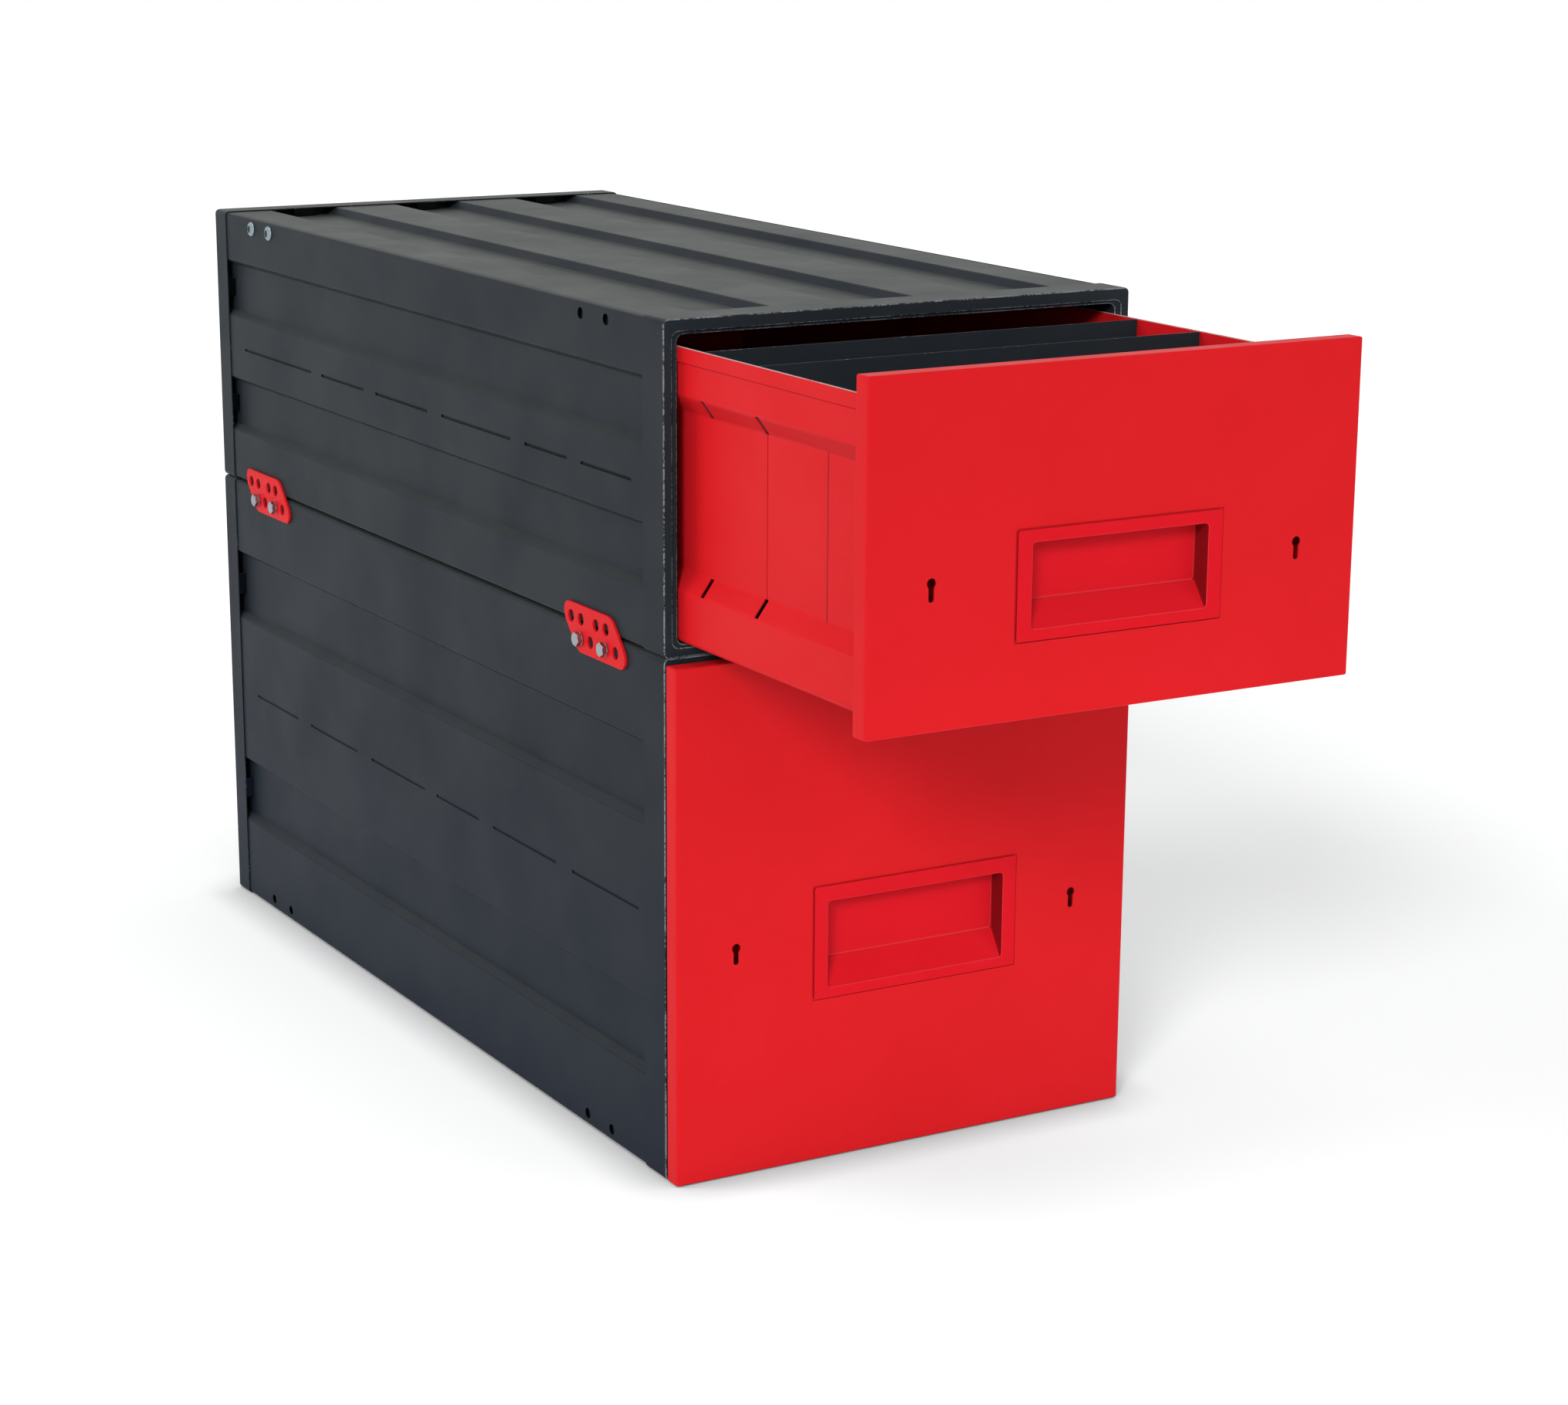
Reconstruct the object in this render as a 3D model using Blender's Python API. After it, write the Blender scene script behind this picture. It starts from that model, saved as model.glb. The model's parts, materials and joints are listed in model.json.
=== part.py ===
"""Van drawer system: two stacked sheet-steel drawer units, each with one full-width lockable drawer.

Metres, +Z up. X runs across the units, the drawers open towards -Y, and the floor is z = 0.
The world origin lies on the floor under the middle of the system's footprint, with the upper
drawer pulled out by UPPER_OPENING and the lower drawer shut.

Every unit is modelled in its own frame: y = 0 is the front face of its collar, z = 0 its
underside. An empty carries the unit to its place and another one carries its drawer.
"""
import math
from dataclasses import dataclass

import bmesh
import bpy
from mathutils import Matrix, Vector

# Overall sizes
CASE_WIDTH = 0.520
CASE_DEPTH = 1.130
UPPER_HEIGHT = 0.318
LOWER_HEIGHT = 0.5217
UPPER_OPENING = 0.337
FIT_GAP = 0.0003

# Case panels: folded sheet with pressed channels running front to back
CASE_SHEET = 0.0012
SWAGE_DEPTH = 0.009
SWAGE_SLOPE = 0.006
BASE_SWAGE_DEPTH = 0.003
PANEL_FLANGE = 0.020
FOLD_LAND = 0.002
TOP_CHANNEL_COUNT = 3
TOP_CHANNEL_WIDTH_SHARE = 0.1615
TOP_CHANNEL_PITCH_SHARE = 0.3077

# Front collar and rear cap, which wrap the panels
WRAP_SHEET = 0.0012
COLLAR_DEPTH = 0.042
WRAP_CORNER = 0.005
COLLAR_OPENING_CORNER = 0.007
LIP_SIDE = 0.0093
LIP_TOP = 0.012
LIP_BOTTOM = 0.009
LIP_STEP = 0.002
LIP_RETURN = 0.020
HEM_SIDE = 0.006
HEM_TOP = 0.003
HEM_BOTTOM = 0.003
CAP_DEPTH = 0.033
TAB_WIDTH_SHARE = 0.30

# Holes and seam slits in the case sides
CASE_HOLE = 0.0106
HOLE_EDGE = 0.0135
HOLE_PAIR = 0.053
FRONT_HOLE_INSET = 0.118
REAR_HOLE_INSET = 0.113
SLIT_HEIGHT = 0.0015

# Joining plates and their bolts
PLATE_SHEET = 0.003
PLATE_HOLE = 0.0105
PLATE_HOLE_STEP = 0.021
PLATE_ROW_RISE = 0.0195
PLATE_ROW_SHIFT = 0.020
PLATE_FRONT_MARGIN = 0.020
PLATE_REAR_MARGIN = 0.015
PLATE_EDGE = 0.014
PLATE_CHAMFER_RUN = 0.029
PLATE_CHAMFER_RISE = 0.032
PLATE_CORNER = 0.0105
CORNER_LIMIT_SHARE = 0.68
BOLT_FLATS = 0.013
BOLT_HEAD = 0.0053
BOLT_SHANK = 0.008
WASHER_DIAMETER = 0.0158
WASHER_SHEET = 0.0012
SCREW_HEAD_DIAMETER = 0.0165
SCREW_HEAD = 0.0035
SCREW_RIM_SHARE = 0.33
SCREW_FACE_SHARE = 0.33
SCREW_SOCKET = 0.006
SCREW_SOCKET_DEPTH = 0.0022
NUT_STRIP_SHEET = 0.003
NUT_STRIP_HEIGHT = 0.012
NUT_STRIP_OVERHANG = 0.009

# Drawer box
DRAWER_SHEET = 0.0012
DRAWER_SIDE_CLEARANCE = 0.0007
DRAWER_BOTTOM_CLEARANCE = 0.002
DRAWER_HEADROOM = 0.010
DRAWER_REAR_GAP = 0.070
DRAWER_FLANGE = 0.030
RECESS_DEPTH = 0.012
RECESS_SLOPE = 0.0165
RECESS_HEIGHT = 0.1827
RECESS_DROP = 0.004
HEM_BAND = 0.0145
WING_SHEET = 0.0012
WING_LENGTH = 0.091

# Drawer front
FRONT_GAP = 0.0036
FRONT_DEPTH = 0.0191
FRONT_SHEET = 0.0015
FRONT_CORNER = 0.002
FRONT_EDGE_ROUND = 0.0015
FRONT_FOOT_GAP = 0.001
FRONT_HEAD_GAP = 0.005
FRONT_LAP = 0.004
HANDLE_SHEET = 0.0012
HANDLE_RIM_SIDE = 0.0155
HANDLE_RIM_BOTTOM = 0.0105
HANDLE_CORNER = 0.002
HANDLE_RAMP_SHARE = 0.29

# Locks: keyhole, case and sliding bolt
KEYHOLE = 0.0094
KEYHOLE_SLOT_WIDTH = 0.006
KEYHOLE_SLOT_DROP = 0.0165
KEYHOLE_INSET = 0.0345
KEYHOLE_DROP = 0.025
LOCK_WIDTH = 0.058
LOCK_HEIGHT = 0.064
LOCK_THICKNESS = 0.016
LOCK_KEYHOLE_DEPTH_SHARE = 0.25
LOCK_BOLT_THICKNESS = 0.007
LOCK_BOLT_HEIGHT = 0.020
LOCK_BOLT_RISE = 0.018
LOCK_BOLT_TAIL = 0.030
LOCK_SLOT_CLEARANCE = 0.0005

# Dividers and the slots that locate them
DIVIDER_SHEET = 0.0012
DIVIDER_DROP = 0.0005
DIVIDER_SPACING = 0.1012
NEAR_DIVIDER_INSET = 0.195
SLOT_WIDTH = 0.0036
SLOT_INSET = 0.0002

# Runners and rollers
RUNNER_HEIGHT_SHARE = 0.503
RUNNER_SHEET = 0.0015
RUNNER_DEPTH = 0.020
DRAWER_TRAVEL = 0.800
REAR_ROLLER = 0.024
REAR_ROLLER_WIDTH = 0.012
REAR_ROLLER_INSET = 0.025
ROLLER_CHAMFER_SHARE = 0.25
ROLLER_SIDE_GAP = 0.0006
AXLE = 0.008
AXLE_SHOULDER = 0.014
AXLE_HEAD = 0.0015
FRONT_ROLLER = 0.0104
FRONT_ROLLER_WIDTH = 0.022
FRONT_ROLLER_INSET = 0.031
FRONT_AXLE = 0.005
EAR_WIDTH = 0.004
EAR_DEPTH = 0.014
EAR_CLEARANCE = 0.0008

# Facets of round shapes and of rounded corners
HOLE_SIDES = 12
ROUND_SIDES = 18
CORNER_STEPS = 2
CUT_OVERRUN = 0.002
MERGE_SHARE = 0.1

# Sizes that follow from the ones above
PANEL_INSET = WRAP_SHEET + FIT_GAP
PANEL_HALF = CASE_WIDTH / 2 - PANEL_INSET
PANEL_FRONT = LIP_RETURN + FIT_GAP
PANEL_REAR = CASE_DEPTH - PANEL_INSET
PANEL_FOLD = WRAP_CORNER - PANEL_INSET
TOP_HALF = PANEL_HALF - PANEL_FOLD - FOLD_LAND - FIT_GAP
FACE_Y = -(FRONT_GAP + FRONT_DEPTH)
FRONT_REACH = FIT_GAP + HANDLE_SHEET - FACE_Y
SYSTEM_FRONT = (UPPER_OPENING + FRONT_REACH - CASE_DEPTH) / 2
DRAWER_HALF = CASE_WIDTH / 2 - LIP_SIDE - HEM_SIDE - DRAWER_SIDE_CLEARANCE
DRAWER_FOOT = LIP_BOTTOM + HEM_BOTTOM + DRAWER_BOTTOM_CLEARANCE
SIDE_HALF = DRAWER_HALF - WING_SHEET - FIT_GAP
DRAWER_FOLD = COLLAR_OPENING_CORNER - DRAWER_SIDE_CLEARANCE
SIDE_FOLD = DRAWER_FOLD - WING_SHEET - FIT_GAP
WALL_FRONT = FIT_GAP - FRONT_GAP
BOX_FRONT = WALL_FRONT + WING_SHEET + FIT_GAP
POCKET_BACK = WALL_FRONT - FIT_GAP - HANDLE_SHEET
BOX_REAR = CASE_DEPTH - DRAWER_REAR_GAP - DRAWER_SHEET - FIT_GAP
FLOOR_LOW = DRAWER_FOOT + DRAWER_SHEET + FIT_GAP
FLOOR_HIGH = FLOOR_LOW + DRAWER_SHEET
ROLLER_PATH_HALF = REAR_ROLLER / 2 + FIT_GAP
REAR_ROLLER_Y = CASE_DEPTH - DRAWER_REAR_GAP - REAR_ROLLER_INSET
RUNNER_WEB = PANEL_HALF - CASE_SHEET - FIT_GAP
LOCK_END = SIDE_HALF - RECESS_DEPTH - DRAWER_SHEET - FIT_GAP
LOCK_BACK = BOX_FRONT + LOCK_THICKNESS
KEYHOLE_OFFSET = LOCK_END - KEYHOLE_INSET
LOCK_BOLT_Y = LIP_STEP + WRAP_SHEET + 2 * LOCK_SLOT_CLEARANCE + LOCK_BOLT_THICKNESS / 2

RED = (0.730, 0.018, 0.022)
DARK_GREY = (0.045, 0.050, 0.056)
ZINC = (0.560, 0.570, 0.580)
STEEL = (0.300, 0.310, 0.320)
NYLON = (0.640, 0.630, 0.600)


@dataclass(frozen=True)
class Unit:
    """One drawer unit: its name, size, place, how far its drawer stands out, and its handle."""

    name: str
    height: float
    base: float
    opening: float
    swage_shares: tuple
    slit_shares: tuple
    handle_width: float
    handle_height: float
    handle_bottom: float
    handle_centre: float
    handle_rim_top: float

    @property
    def runner_z(self):
        return self.height * RUNNER_HEIGHT_SHARE

    @property
    def drawer_top(self):
        return self.height - LIP_TOP - HEM_TOP - DRAWER_HEADROOM

    @property
    def recess_low(self):
        return self.runner_z - RECESS_DROP - RECESS_HEIGHT / 2

    @property
    def recess_high(self):
        return self.recess_low + RECESS_HEIGHT

    @property
    def front_low(self):
        return FRONT_FOOT_GAP

    @property
    def front_high(self):
        return self.height - FRONT_HEAD_GAP

    @property
    def keyhole_z(self):
        return (self.front_low + self.front_high) / 2 - KEYHOLE_DROP

    @property
    def bolt_z(self):
        return self.keyhole_z + LOCK_BOLT_RISE


UPPER = Unit(
    name="upper",
    height=UPPER_HEIGHT,
    base=LOWER_HEIGHT + FIT_GAP,
    opening=UPPER_OPENING,
    swage_shares=((0.186, 0.388), (0.616, 0.824)),
    slit_shares=((0.060, 0.153), (0.180, 0.263), (0.292, 0.439), (0.471, 0.591), (0.620, 0.725),
                 (0.752, 0.930)),
    handle_width=0.187,
    handle_height=0.0762,
    handle_bottom=0.0818,
    handle_centre=0.0012,
    handle_rim_top=0.0115,
)
LOWER = Unit(
    name="lower",
    height=LOWER_HEIGHT,
    base=0.0,
    opening=0.0,
    swage_shares=((0.184, 0.335), (0.672, 0.831)),
    slit_shares=((0.050, 0.178), (0.210, 0.341), (0.372, 0.468), (0.495, 0.623), (0.659, 0.780),
                 (0.815, 0.927)),
    handle_width=0.203,
    handle_height=0.088,
    handle_bottom=0.1785,
    handle_centre=0.0090,
    handle_rim_top=0.0160,
)
UNITS = (LOWER, UPPER)
SIDES = (("left", -1), ("right", 1))


def clear_scene():
    """Remove every object that the scene starts with."""
    for old in list(bpy.data.objects):
        bpy.data.objects.remove(old, do_unlink=True)


def new_empty(name, location, parent=None):
    """Place an empty that carries other objects."""
    empty = bpy.data.objects.new(name, None)
    empty.location = location
    empty.parent = parent
    bpy.context.scene.collection.objects.link(empty)
    return empty


def new_material(name, colour, roughness, metallic):
    """Make one Principled material."""
    material = bpy.data.materials.new(name)
    material.use_nodes = True
    shader = material.node_tree.nodes["Principled BSDF"]
    shader.inputs["Base Color"].default_value = (*colour, 1.0)
    shader.inputs["Roughness"].default_value = roughness
    shader.inputs["Metallic"].default_value = metallic
    return material


def new_object(name, shape, parent, location=(0, 0, 0)):
    """Turn a bmesh into a linked object with its faces pointing outwards."""
    bmesh.ops.recalc_face_normals(shape, faces=shape.faces)
    mesh = bpy.data.meshes.new(name)
    shape.to_mesh(mesh)
    shape.free()
    made = bpy.data.objects.new(name, mesh)
    made.location = location
    made.parent = parent
    bpy.context.scene.collection.objects.link(made)
    return made


def finish(made, colour, roughness=0.45, metallic=0.0, smooth=False):
    """Give a finished object its own material and, if it is round, smooth shading."""
    made.data.materials.append(new_material(made.name + "_finish", colour, roughness, metallic))
    if smooth:
        made.data.shade_smooth()
        made.data.set_sharp_from_angle(angle=math.radians(35))
    return made


def finish_paint(made, colour):
    """Powder coat on sheet steel."""
    return finish(made, colour, roughness=0.42)


def combine(made, other, operation):
    """Cut another object out of this one, or join it on, and keep the other as a guide only."""
    other.hide_render = True
    other.display_type = "WIRE"
    modifier = made.modifiers.new(operation.lower(), "BOOLEAN")
    modifier.operation = operation
    modifier.solver = "EXACT"
    modifier.object = other
    return made


def add_box(shape, low, high):
    """Add a box between two corners and return its vertices."""
    low, high = Vector(low), Vector(high)
    middle, size = (low + high) / 2, high - low
    matrix = Matrix.Translation(middle) @ Matrix.Diagonal((*size, 1))
    return bmesh.ops.create_cube(shape, size=1, matrix=matrix)["verts"]


def axis_matrix(axis):
    """Turn +Z onto the named axis."""
    turns = {"X": Matrix.Rotation(math.pi / 2, 4, "Y"), "Y": Matrix.Rotation(-math.pi / 2, 4, "X"),
             "Z": Matrix.Identity(4)}
    return turns[axis]


def add_rod(shape, axis, centre, radius, length, sides=ROUND_SIDES):
    """Add a cylinder, centred on a point and lying along one axis, with flats facing that point."""
    matrix = Matrix.Translation(centre) @ axis_matrix(axis)
    bmesh.ops.create_cone(shape, cap_ends=True, segments=sides, radius1=radius, radius2=radius,
                          depth=length, matrix=matrix)


def add_turned(shape, outline):
    """Spin an outline of (x, radius) points, which starts and ends on the X axis, about X."""
    verts = [shape.verts.new((x, 0, radius)) for x, radius in outline]
    edges = [shape.edges.new(pair) for pair in zip(verts, verts[1:])]
    bmesh.ops.spin(shape, geom=verts + edges, cent=(0, 0, 0), axis=(1, 0, 0), dvec=(0, 0, 0),
                   angle=2 * math.pi, steps=ROUND_SIDES, use_merge=True)
    bmesh.ops.remove_doubles(shape, verts=shape.verts, dist=FIT_GAP * MERGE_SHARE)


def add_prism(shape, outline, low, high, axis="Y"):
    """Extrude a flat outline from low to high: (x, z) points along Y, or (y, z) points along X."""
    if axis == "Y":
        verts = [shape.verts.new((x, low, z)) for x, z in outline]
        step = Vector((0, high - low, 0))
    else:
        verts = [shape.verts.new((low, y, z)) for y, z in outline]
        step = Vector((high - low, 0, 0))
    face = shape.faces.new(verts)
    moved = bmesh.ops.extrude_face_region(shape, geom=[face], use_keep_orig=True)["geom"]
    bmesh.ops.translate(shape, verts=[v for v in moved if isinstance(v, bmesh.types.BMVert)], vec=step)


def sheet_outline(path, thickness):
    """Close a folded path into the outline of a sheet, laid on the right-hand side of the path."""
    offset = []
    for index, point in enumerate(path):
        here = Vector(point)
        before = Vector(path[index - 1]) if index else None
        after = Vector(path[index + 1]) if index + 1 < len(path) else None
        normals = []
        for start, end in ((before, here), (here, after)):
            if start is not None and end is not None:
                along = (end - start).normalized()
                normals.append(Vector((along.y, -along.x)))
        mean = sum(normals, Vector((0, 0))).normalized()
        offset.append(tuple(here + mean * thickness / mean.dot(normals[0])))
    return list(path) + offset[::-1]


def arc(centre, radius, start, end):
    """Points of an arc between two angles in degrees."""
    points = []
    for step in range(CORNER_STEPS + 1):
        angle = math.radians(start + (end - start) * step / CORNER_STEPS)
        points.append((centre[0] + radius * math.cos(angle), centre[1] + radius * math.sin(angle)))
    return points


def mirrored(outline, sign):
    """Take an outline drawn for the left side to the side that sign names."""
    return [(-sign * x, z) for x, z in outline]


def corner_loop(left, right, low, high, radius, y):
    """Points around a rectangle in the XZ plane with rounded corners."""
    centres = ((right - radius, high - radius), (left + radius, high - radius),
               (left + radius, low + radius), (right - radius, low + radius))
    points = []
    for quarter, (cx, cz) in enumerate(centres):
        for step in range(CORNER_STEPS + 1):
            angle = (quarter + step / CORNER_STEPS) * math.pi / 2
            points.append((cx + radius * math.cos(angle), y, cz + radius * math.sin(angle)))
    return points


def skin_loops(shape, loops, cap_start=False, cap_end=False, closed=False):
    """Join loops of equal length into one surface."""
    rings = [[shape.verts.new(point) for point in loop] for loop in loops]
    pairs = list(zip(rings, rings[1:]))
    if closed:
        pairs.append((rings[-1], rings[0]))
    for first, second in pairs:
        count = len(first)
        for index in range(count):
            follow = (index + 1) % count
            shape.faces.new((first[index], first[follow], second[follow], second[index]))
    if cap_start:
        shape.faces.new(rings[0])
    if cap_end:
        shape.faces.new(rings[-1])


def facing(shape, direction, limit=0.9):
    """Faces whose normals point along a direction."""
    shape.normal_update()
    direction = Vector(direction)
    return [face for face in shape.faces if face.normal.dot(direction) > limit]


def hollow(shape, direction, wall, depth):
    """Sink the face that points along direction, leaving a wall around it."""
    faces = facing(shape, direction)
    bmesh.ops.inset_region(shape, faces=faces, thickness=wall, use_even_offset=True)
    sunk = bmesh.ops.extrude_face_region(shape, geom=faces)["geom"]
    bmesh.ops.delete(shape, geom=faces, context="FACES_KEEP_BOUNDARY")
    verts = [v for v in sunk if isinstance(v, bmesh.types.BMVert)]
    bmesh.ops.translate(shape, verts=verts, vec=Vector(direction) * -depth)


def edges_along(shape, axis):
    """Edges that run along one axis (0 is X, 1 is Y, 2 is Z)."""
    along = []
    for edge in shape.edges:
        run = (edge.verts[1].co - edge.verts[0].co).normalized()
        if abs(run[axis]) > 0.99:
            along.append(edge)
    return along


def round_edges(shape, edges, radius, segments=CORNER_STEPS):
    """Bevel edges to a round."""
    bmesh.ops.bevel(shape, geom=edges, offset=radius, segments=segments, profile=0.5,
                    affect="EDGES", material=-1)


def hole_places():
    """Distances from the front of a unit to the four holes of a row."""
    front = FRONT_HOLE_INSET
    rear = CASE_DEPTH - REAR_HOLE_INSET
    return (front, front + HOLE_PAIR, rear - HOLE_PAIR, rear)


def hole_heights(unit):
    """Heights of a unit's lower and upper rows of holes."""
    return (HOLE_EDGE, unit.height - HOLE_EDGE)


def side_hole_cutter(name, parent, places, half_outer, half_inner, sign):
    """Rods across a side wall at (y, z) places."""
    shape = bmesh.new()
    middle = sign * (half_outer + half_inner) / 2
    length = half_outer - half_inner + 2 * CUT_OVERRUN
    for y, z in places:
        add_rod(shape, "X", (middle, y, z), CASE_HOLE / 2, length, HOLE_SIDES)
    return new_object(name, shape, parent)


def case_side(unit, carrier, side, sign):
    """Side panel: folded long edges, two pressed channels, rows of holes and a line of seam slits."""
    low, high = PANEL_INSET, unit.height - PANEL_INSET
    fold_x = -PANEL_HALF + PANEL_FOLD
    path = [(fold_x + FOLD_LAND, low), *arc((fold_x, low + PANEL_FOLD), PANEL_FOLD, 270, 180)]
    for low_share, high_share in unit.swage_shares:
        swage_low, swage_high = low_share * unit.height, high_share * unit.height
        path += [(-PANEL_HALF, swage_low),
                 (-PANEL_HALF + SWAGE_DEPTH, swage_low + SWAGE_SLOPE),
                 (-PANEL_HALF + SWAGE_DEPTH, swage_high - SWAGE_SLOPE),
                 (-PANEL_HALF, swage_high)]
    path += [*arc((fold_x, high - PANEL_FOLD), PANEL_FOLD, 180, 90), (fold_x + FOLD_LAND, high)]
    shape = bmesh.new()
    add_prism(shape, mirrored(sheet_outline(path, CASE_SHEET), sign), PANEL_FRONT, PANEL_REAR)
    name = f"{unit.name}_case_{side}_side"
    panel = new_object(name, shape, carrier)
    places = [(y, z) for y in hole_places() for z in hole_heights(unit)]
    cutter = side_hole_cutter(name + "_holes", carrier, places, PANEL_HALF, PANEL_HALF - CASE_SHEET, sign)
    combine(panel, cutter, "DIFFERENCE")
    slits = bmesh.new()
    near, far = sorted((sign * (PANEL_HALF + CUT_OVERRUN), sign * (PANEL_HALF - CASE_SHEET - CUT_OVERRUN)))
    for start_share, end_share in unit.slit_shares:
        add_box(slits, (near, start_share * CASE_DEPTH, unit.runner_z - SLIT_HEIGHT / 2),
                (far, end_share * CASE_DEPTH, unit.runner_z + SLIT_HEIGHT / 2))
    combine(panel, new_object(name + "_slits", slits, carrier), "DIFFERENCE")
    return finish_paint(panel, DARK_GREY)


def channel_centres():
    """Places across the case of the channels in its top and base."""
    pitch = CASE_WIDTH * TOP_CHANNEL_PITCH_SHARE
    first = -pitch * (TOP_CHANNEL_COUNT - 1) / 2
    return [first + pitch * index for index in range(TOP_CHANNEL_COUNT)]


def channelled_path(level, flange_end, depth):
    """Path of a flanged panel whose channels are pressed towards its flanges."""
    half = TOP_HALF
    width = CASE_WIDTH * TOP_CHANNEL_WIDTH_SHARE
    floor = level + math.copysign(depth, flange_end - level)
    path = [(-half, flange_end), (-half, level)]
    for centre in channel_centres():
        path += [(centre - width / 2, level), (centre - width / 2 + SWAGE_SLOPE, floor),
                 (centre + width / 2 - SWAGE_SLOPE, floor), (centre + width / 2, level)]
    return path + [(half, level), (half, flange_end)]


def case_panel(unit, carrier, name, level, flange_end, depth, thickness, hole_z):
    """Top or base panel with its flanges inside the side panels, and their holes."""
    shape = bmesh.new()
    add_prism(shape, sheet_outline(channelled_path(level, flange_end, depth), thickness),
              PANEL_FRONT, PANEL_REAR)
    panel = new_object(name, shape, carrier)
    places = [(y, hole_z) for y in hole_places()]
    for side, sign in SIDES:
        cutter = side_hole_cutter(f"{name}_{side}_holes", carrier, places, TOP_HALF,
                                  TOP_HALF - CASE_SHEET, sign)
        combine(panel, cutter, "DIFFERENCE")
    return finish_paint(panel, DARK_GREY)


def case_top(unit, carrier):
    """Top panel: channels pressed down, flanges folded down."""
    level = unit.height - PANEL_INSET
    return case_panel(unit, carrier, f"{unit.name}_case_top", level, level - PANEL_FLANGE,
                      SWAGE_DEPTH, CASE_SHEET, unit.height - HOLE_EDGE)


def case_base(unit, carrier):
    """Base panel: shallow channels pressed up, flanges folded up."""
    level = PANEL_INSET
    return case_panel(unit, carrier, f"{unit.name}_case_base", level, level + PANEL_FLANGE,
                      BASE_SWAGE_DEPTH, -CASE_SHEET, HOLE_EDGE)


def collar_loop(unit, face_share, hem_share, outset, radius, y):
    """One loop of the collar: how far its face and hem have run in, and its offset outwards."""
    side = face_share * LIP_SIDE + hem_share * HEM_SIDE - outset
    top = face_share * LIP_TOP + hem_share * HEM_TOP - outset
    bottom = face_share * LIP_BOTTOM + hem_share * HEM_BOTTOM - outset
    half = CASE_WIDTH / 2 - side
    return corner_loop(-half, half, bottom, unit.height - top, radius, y)


def front_collar(unit, carrier):
    """Collar: a wrap around the panels, a face, a stepped-back hem and an inner return."""
    inner = WRAP_CORNER - WRAP_SHEET
    opening = COLLAR_OPENING_CORNER
    step_back = LIP_STEP + WRAP_SHEET
    loops = [
        collar_loop(unit, 0, 0, 0, WRAP_CORNER, COLLAR_DEPTH),
        collar_loop(unit, 0, 0, 0, WRAP_CORNER, 0),
        collar_loop(unit, 1, 0, 0, opening, 0),
        collar_loop(unit, 1, 0, 0, opening, LIP_STEP),
        collar_loop(unit, 1, 1, 0, opening, LIP_STEP),
        collar_loop(unit, 1, 1, 0, opening, LIP_RETURN),
        collar_loop(unit, 1, 1, WRAP_SHEET, opening + WRAP_SHEET, LIP_RETURN),
        collar_loop(unit, 1, 1, WRAP_SHEET, opening + WRAP_SHEET, step_back),
        collar_loop(unit, 1, 0, WRAP_SHEET, opening + WRAP_SHEET, step_back),
        collar_loop(unit, 1, 0, WRAP_SHEET, opening + WRAP_SHEET, WRAP_SHEET),
        collar_loop(unit, 0, 0, -WRAP_SHEET, inner, WRAP_SHEET),
        collar_loop(unit, 0, 0, -WRAP_SHEET, inner, COLLAR_DEPTH),
    ]
    shape = bmesh.new()
    skin_loops(shape, loops, closed=True)
    name = f"{unit.name}_front_collar"
    collar = new_object(name, shape, carrier)
    strikes = bmesh.new()
    opening_half = CASE_WIDTH / 2 - LIP_SIDE - HEM_SIDE
    reach_y = LOCK_BOLT_THICKNESS / 2 + LOCK_SLOT_CLEARANCE
    reach_z = LOCK_BOLT_HEIGHT / 2 + LOCK_SLOT_CLEARANCE
    for _, sign in SIDES:
        near, far = sorted((sign * (opening_half - CUT_OVERRUN),
                            sign * (opening_half + WRAP_SHEET + CUT_OVERRUN)))
        add_box(strikes, (near, LOCK_BOLT_Y - reach_y, unit.bolt_z - reach_z),
                (far, LOCK_BOLT_Y + reach_y, unit.bolt_z + reach_z))
    combine(collar, new_object(name + "_strikes", strikes, carrier), "DIFFERENCE")
    return finish_paint(collar, DARK_GREY)


def rear_cap(unit, carrier):
    """Rear cap: a tray around the rear of the panels, with a tab folded into each channel end."""
    shape = bmesh.new()
    half, front = CASE_WIDTH / 2, CASE_DEPTH - CAP_DEPTH
    add_box(shape, (-half, front, 0), (half, CASE_DEPTH, unit.height))
    round_edges(shape, edges_along(shape, 1), WRAP_CORNER)
    hollow(shape, (0, -1, 0), WRAP_SHEET, CAP_DEPTH - WRAP_SHEET)
    name = f"{unit.name}_rear_cap"
    cap = new_object(name, shape, carrier)
    tabs = bmesh.new()
    tab_back = front + WRAP_SHEET
    tab_reach = PANEL_INSET + SWAGE_DEPTH - FIT_GAP
    root = WRAP_SHEET / 2
    tab = CASE_WIDTH * TOP_CHANNEL_WIDTH_SHARE * TAB_WIDTH_SHARE
    for centre in channel_centres():
        add_box(tabs, (centre - tab / 2, front, unit.height - tab_reach),
                (centre + tab / 2, tab_back, unit.height - root))
    for low_share, high_share in unit.swage_shares:
        middle = (low_share + high_share) / 2 * unit.height
        tab = (high_share - low_share) * unit.height * TAB_WIDTH_SHARE
        for _, sign in SIDES:
            near, far = sorted((sign * (half - tab_reach), sign * (half - root)))
            add_box(tabs, (near, front, middle - tab / 2), (far, tab_back, middle + tab / 2))
    combine(cap, new_object(name + "_tabs", tabs, carrier), "UNION")
    return finish_paint(cap, DARK_GREY)


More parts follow.
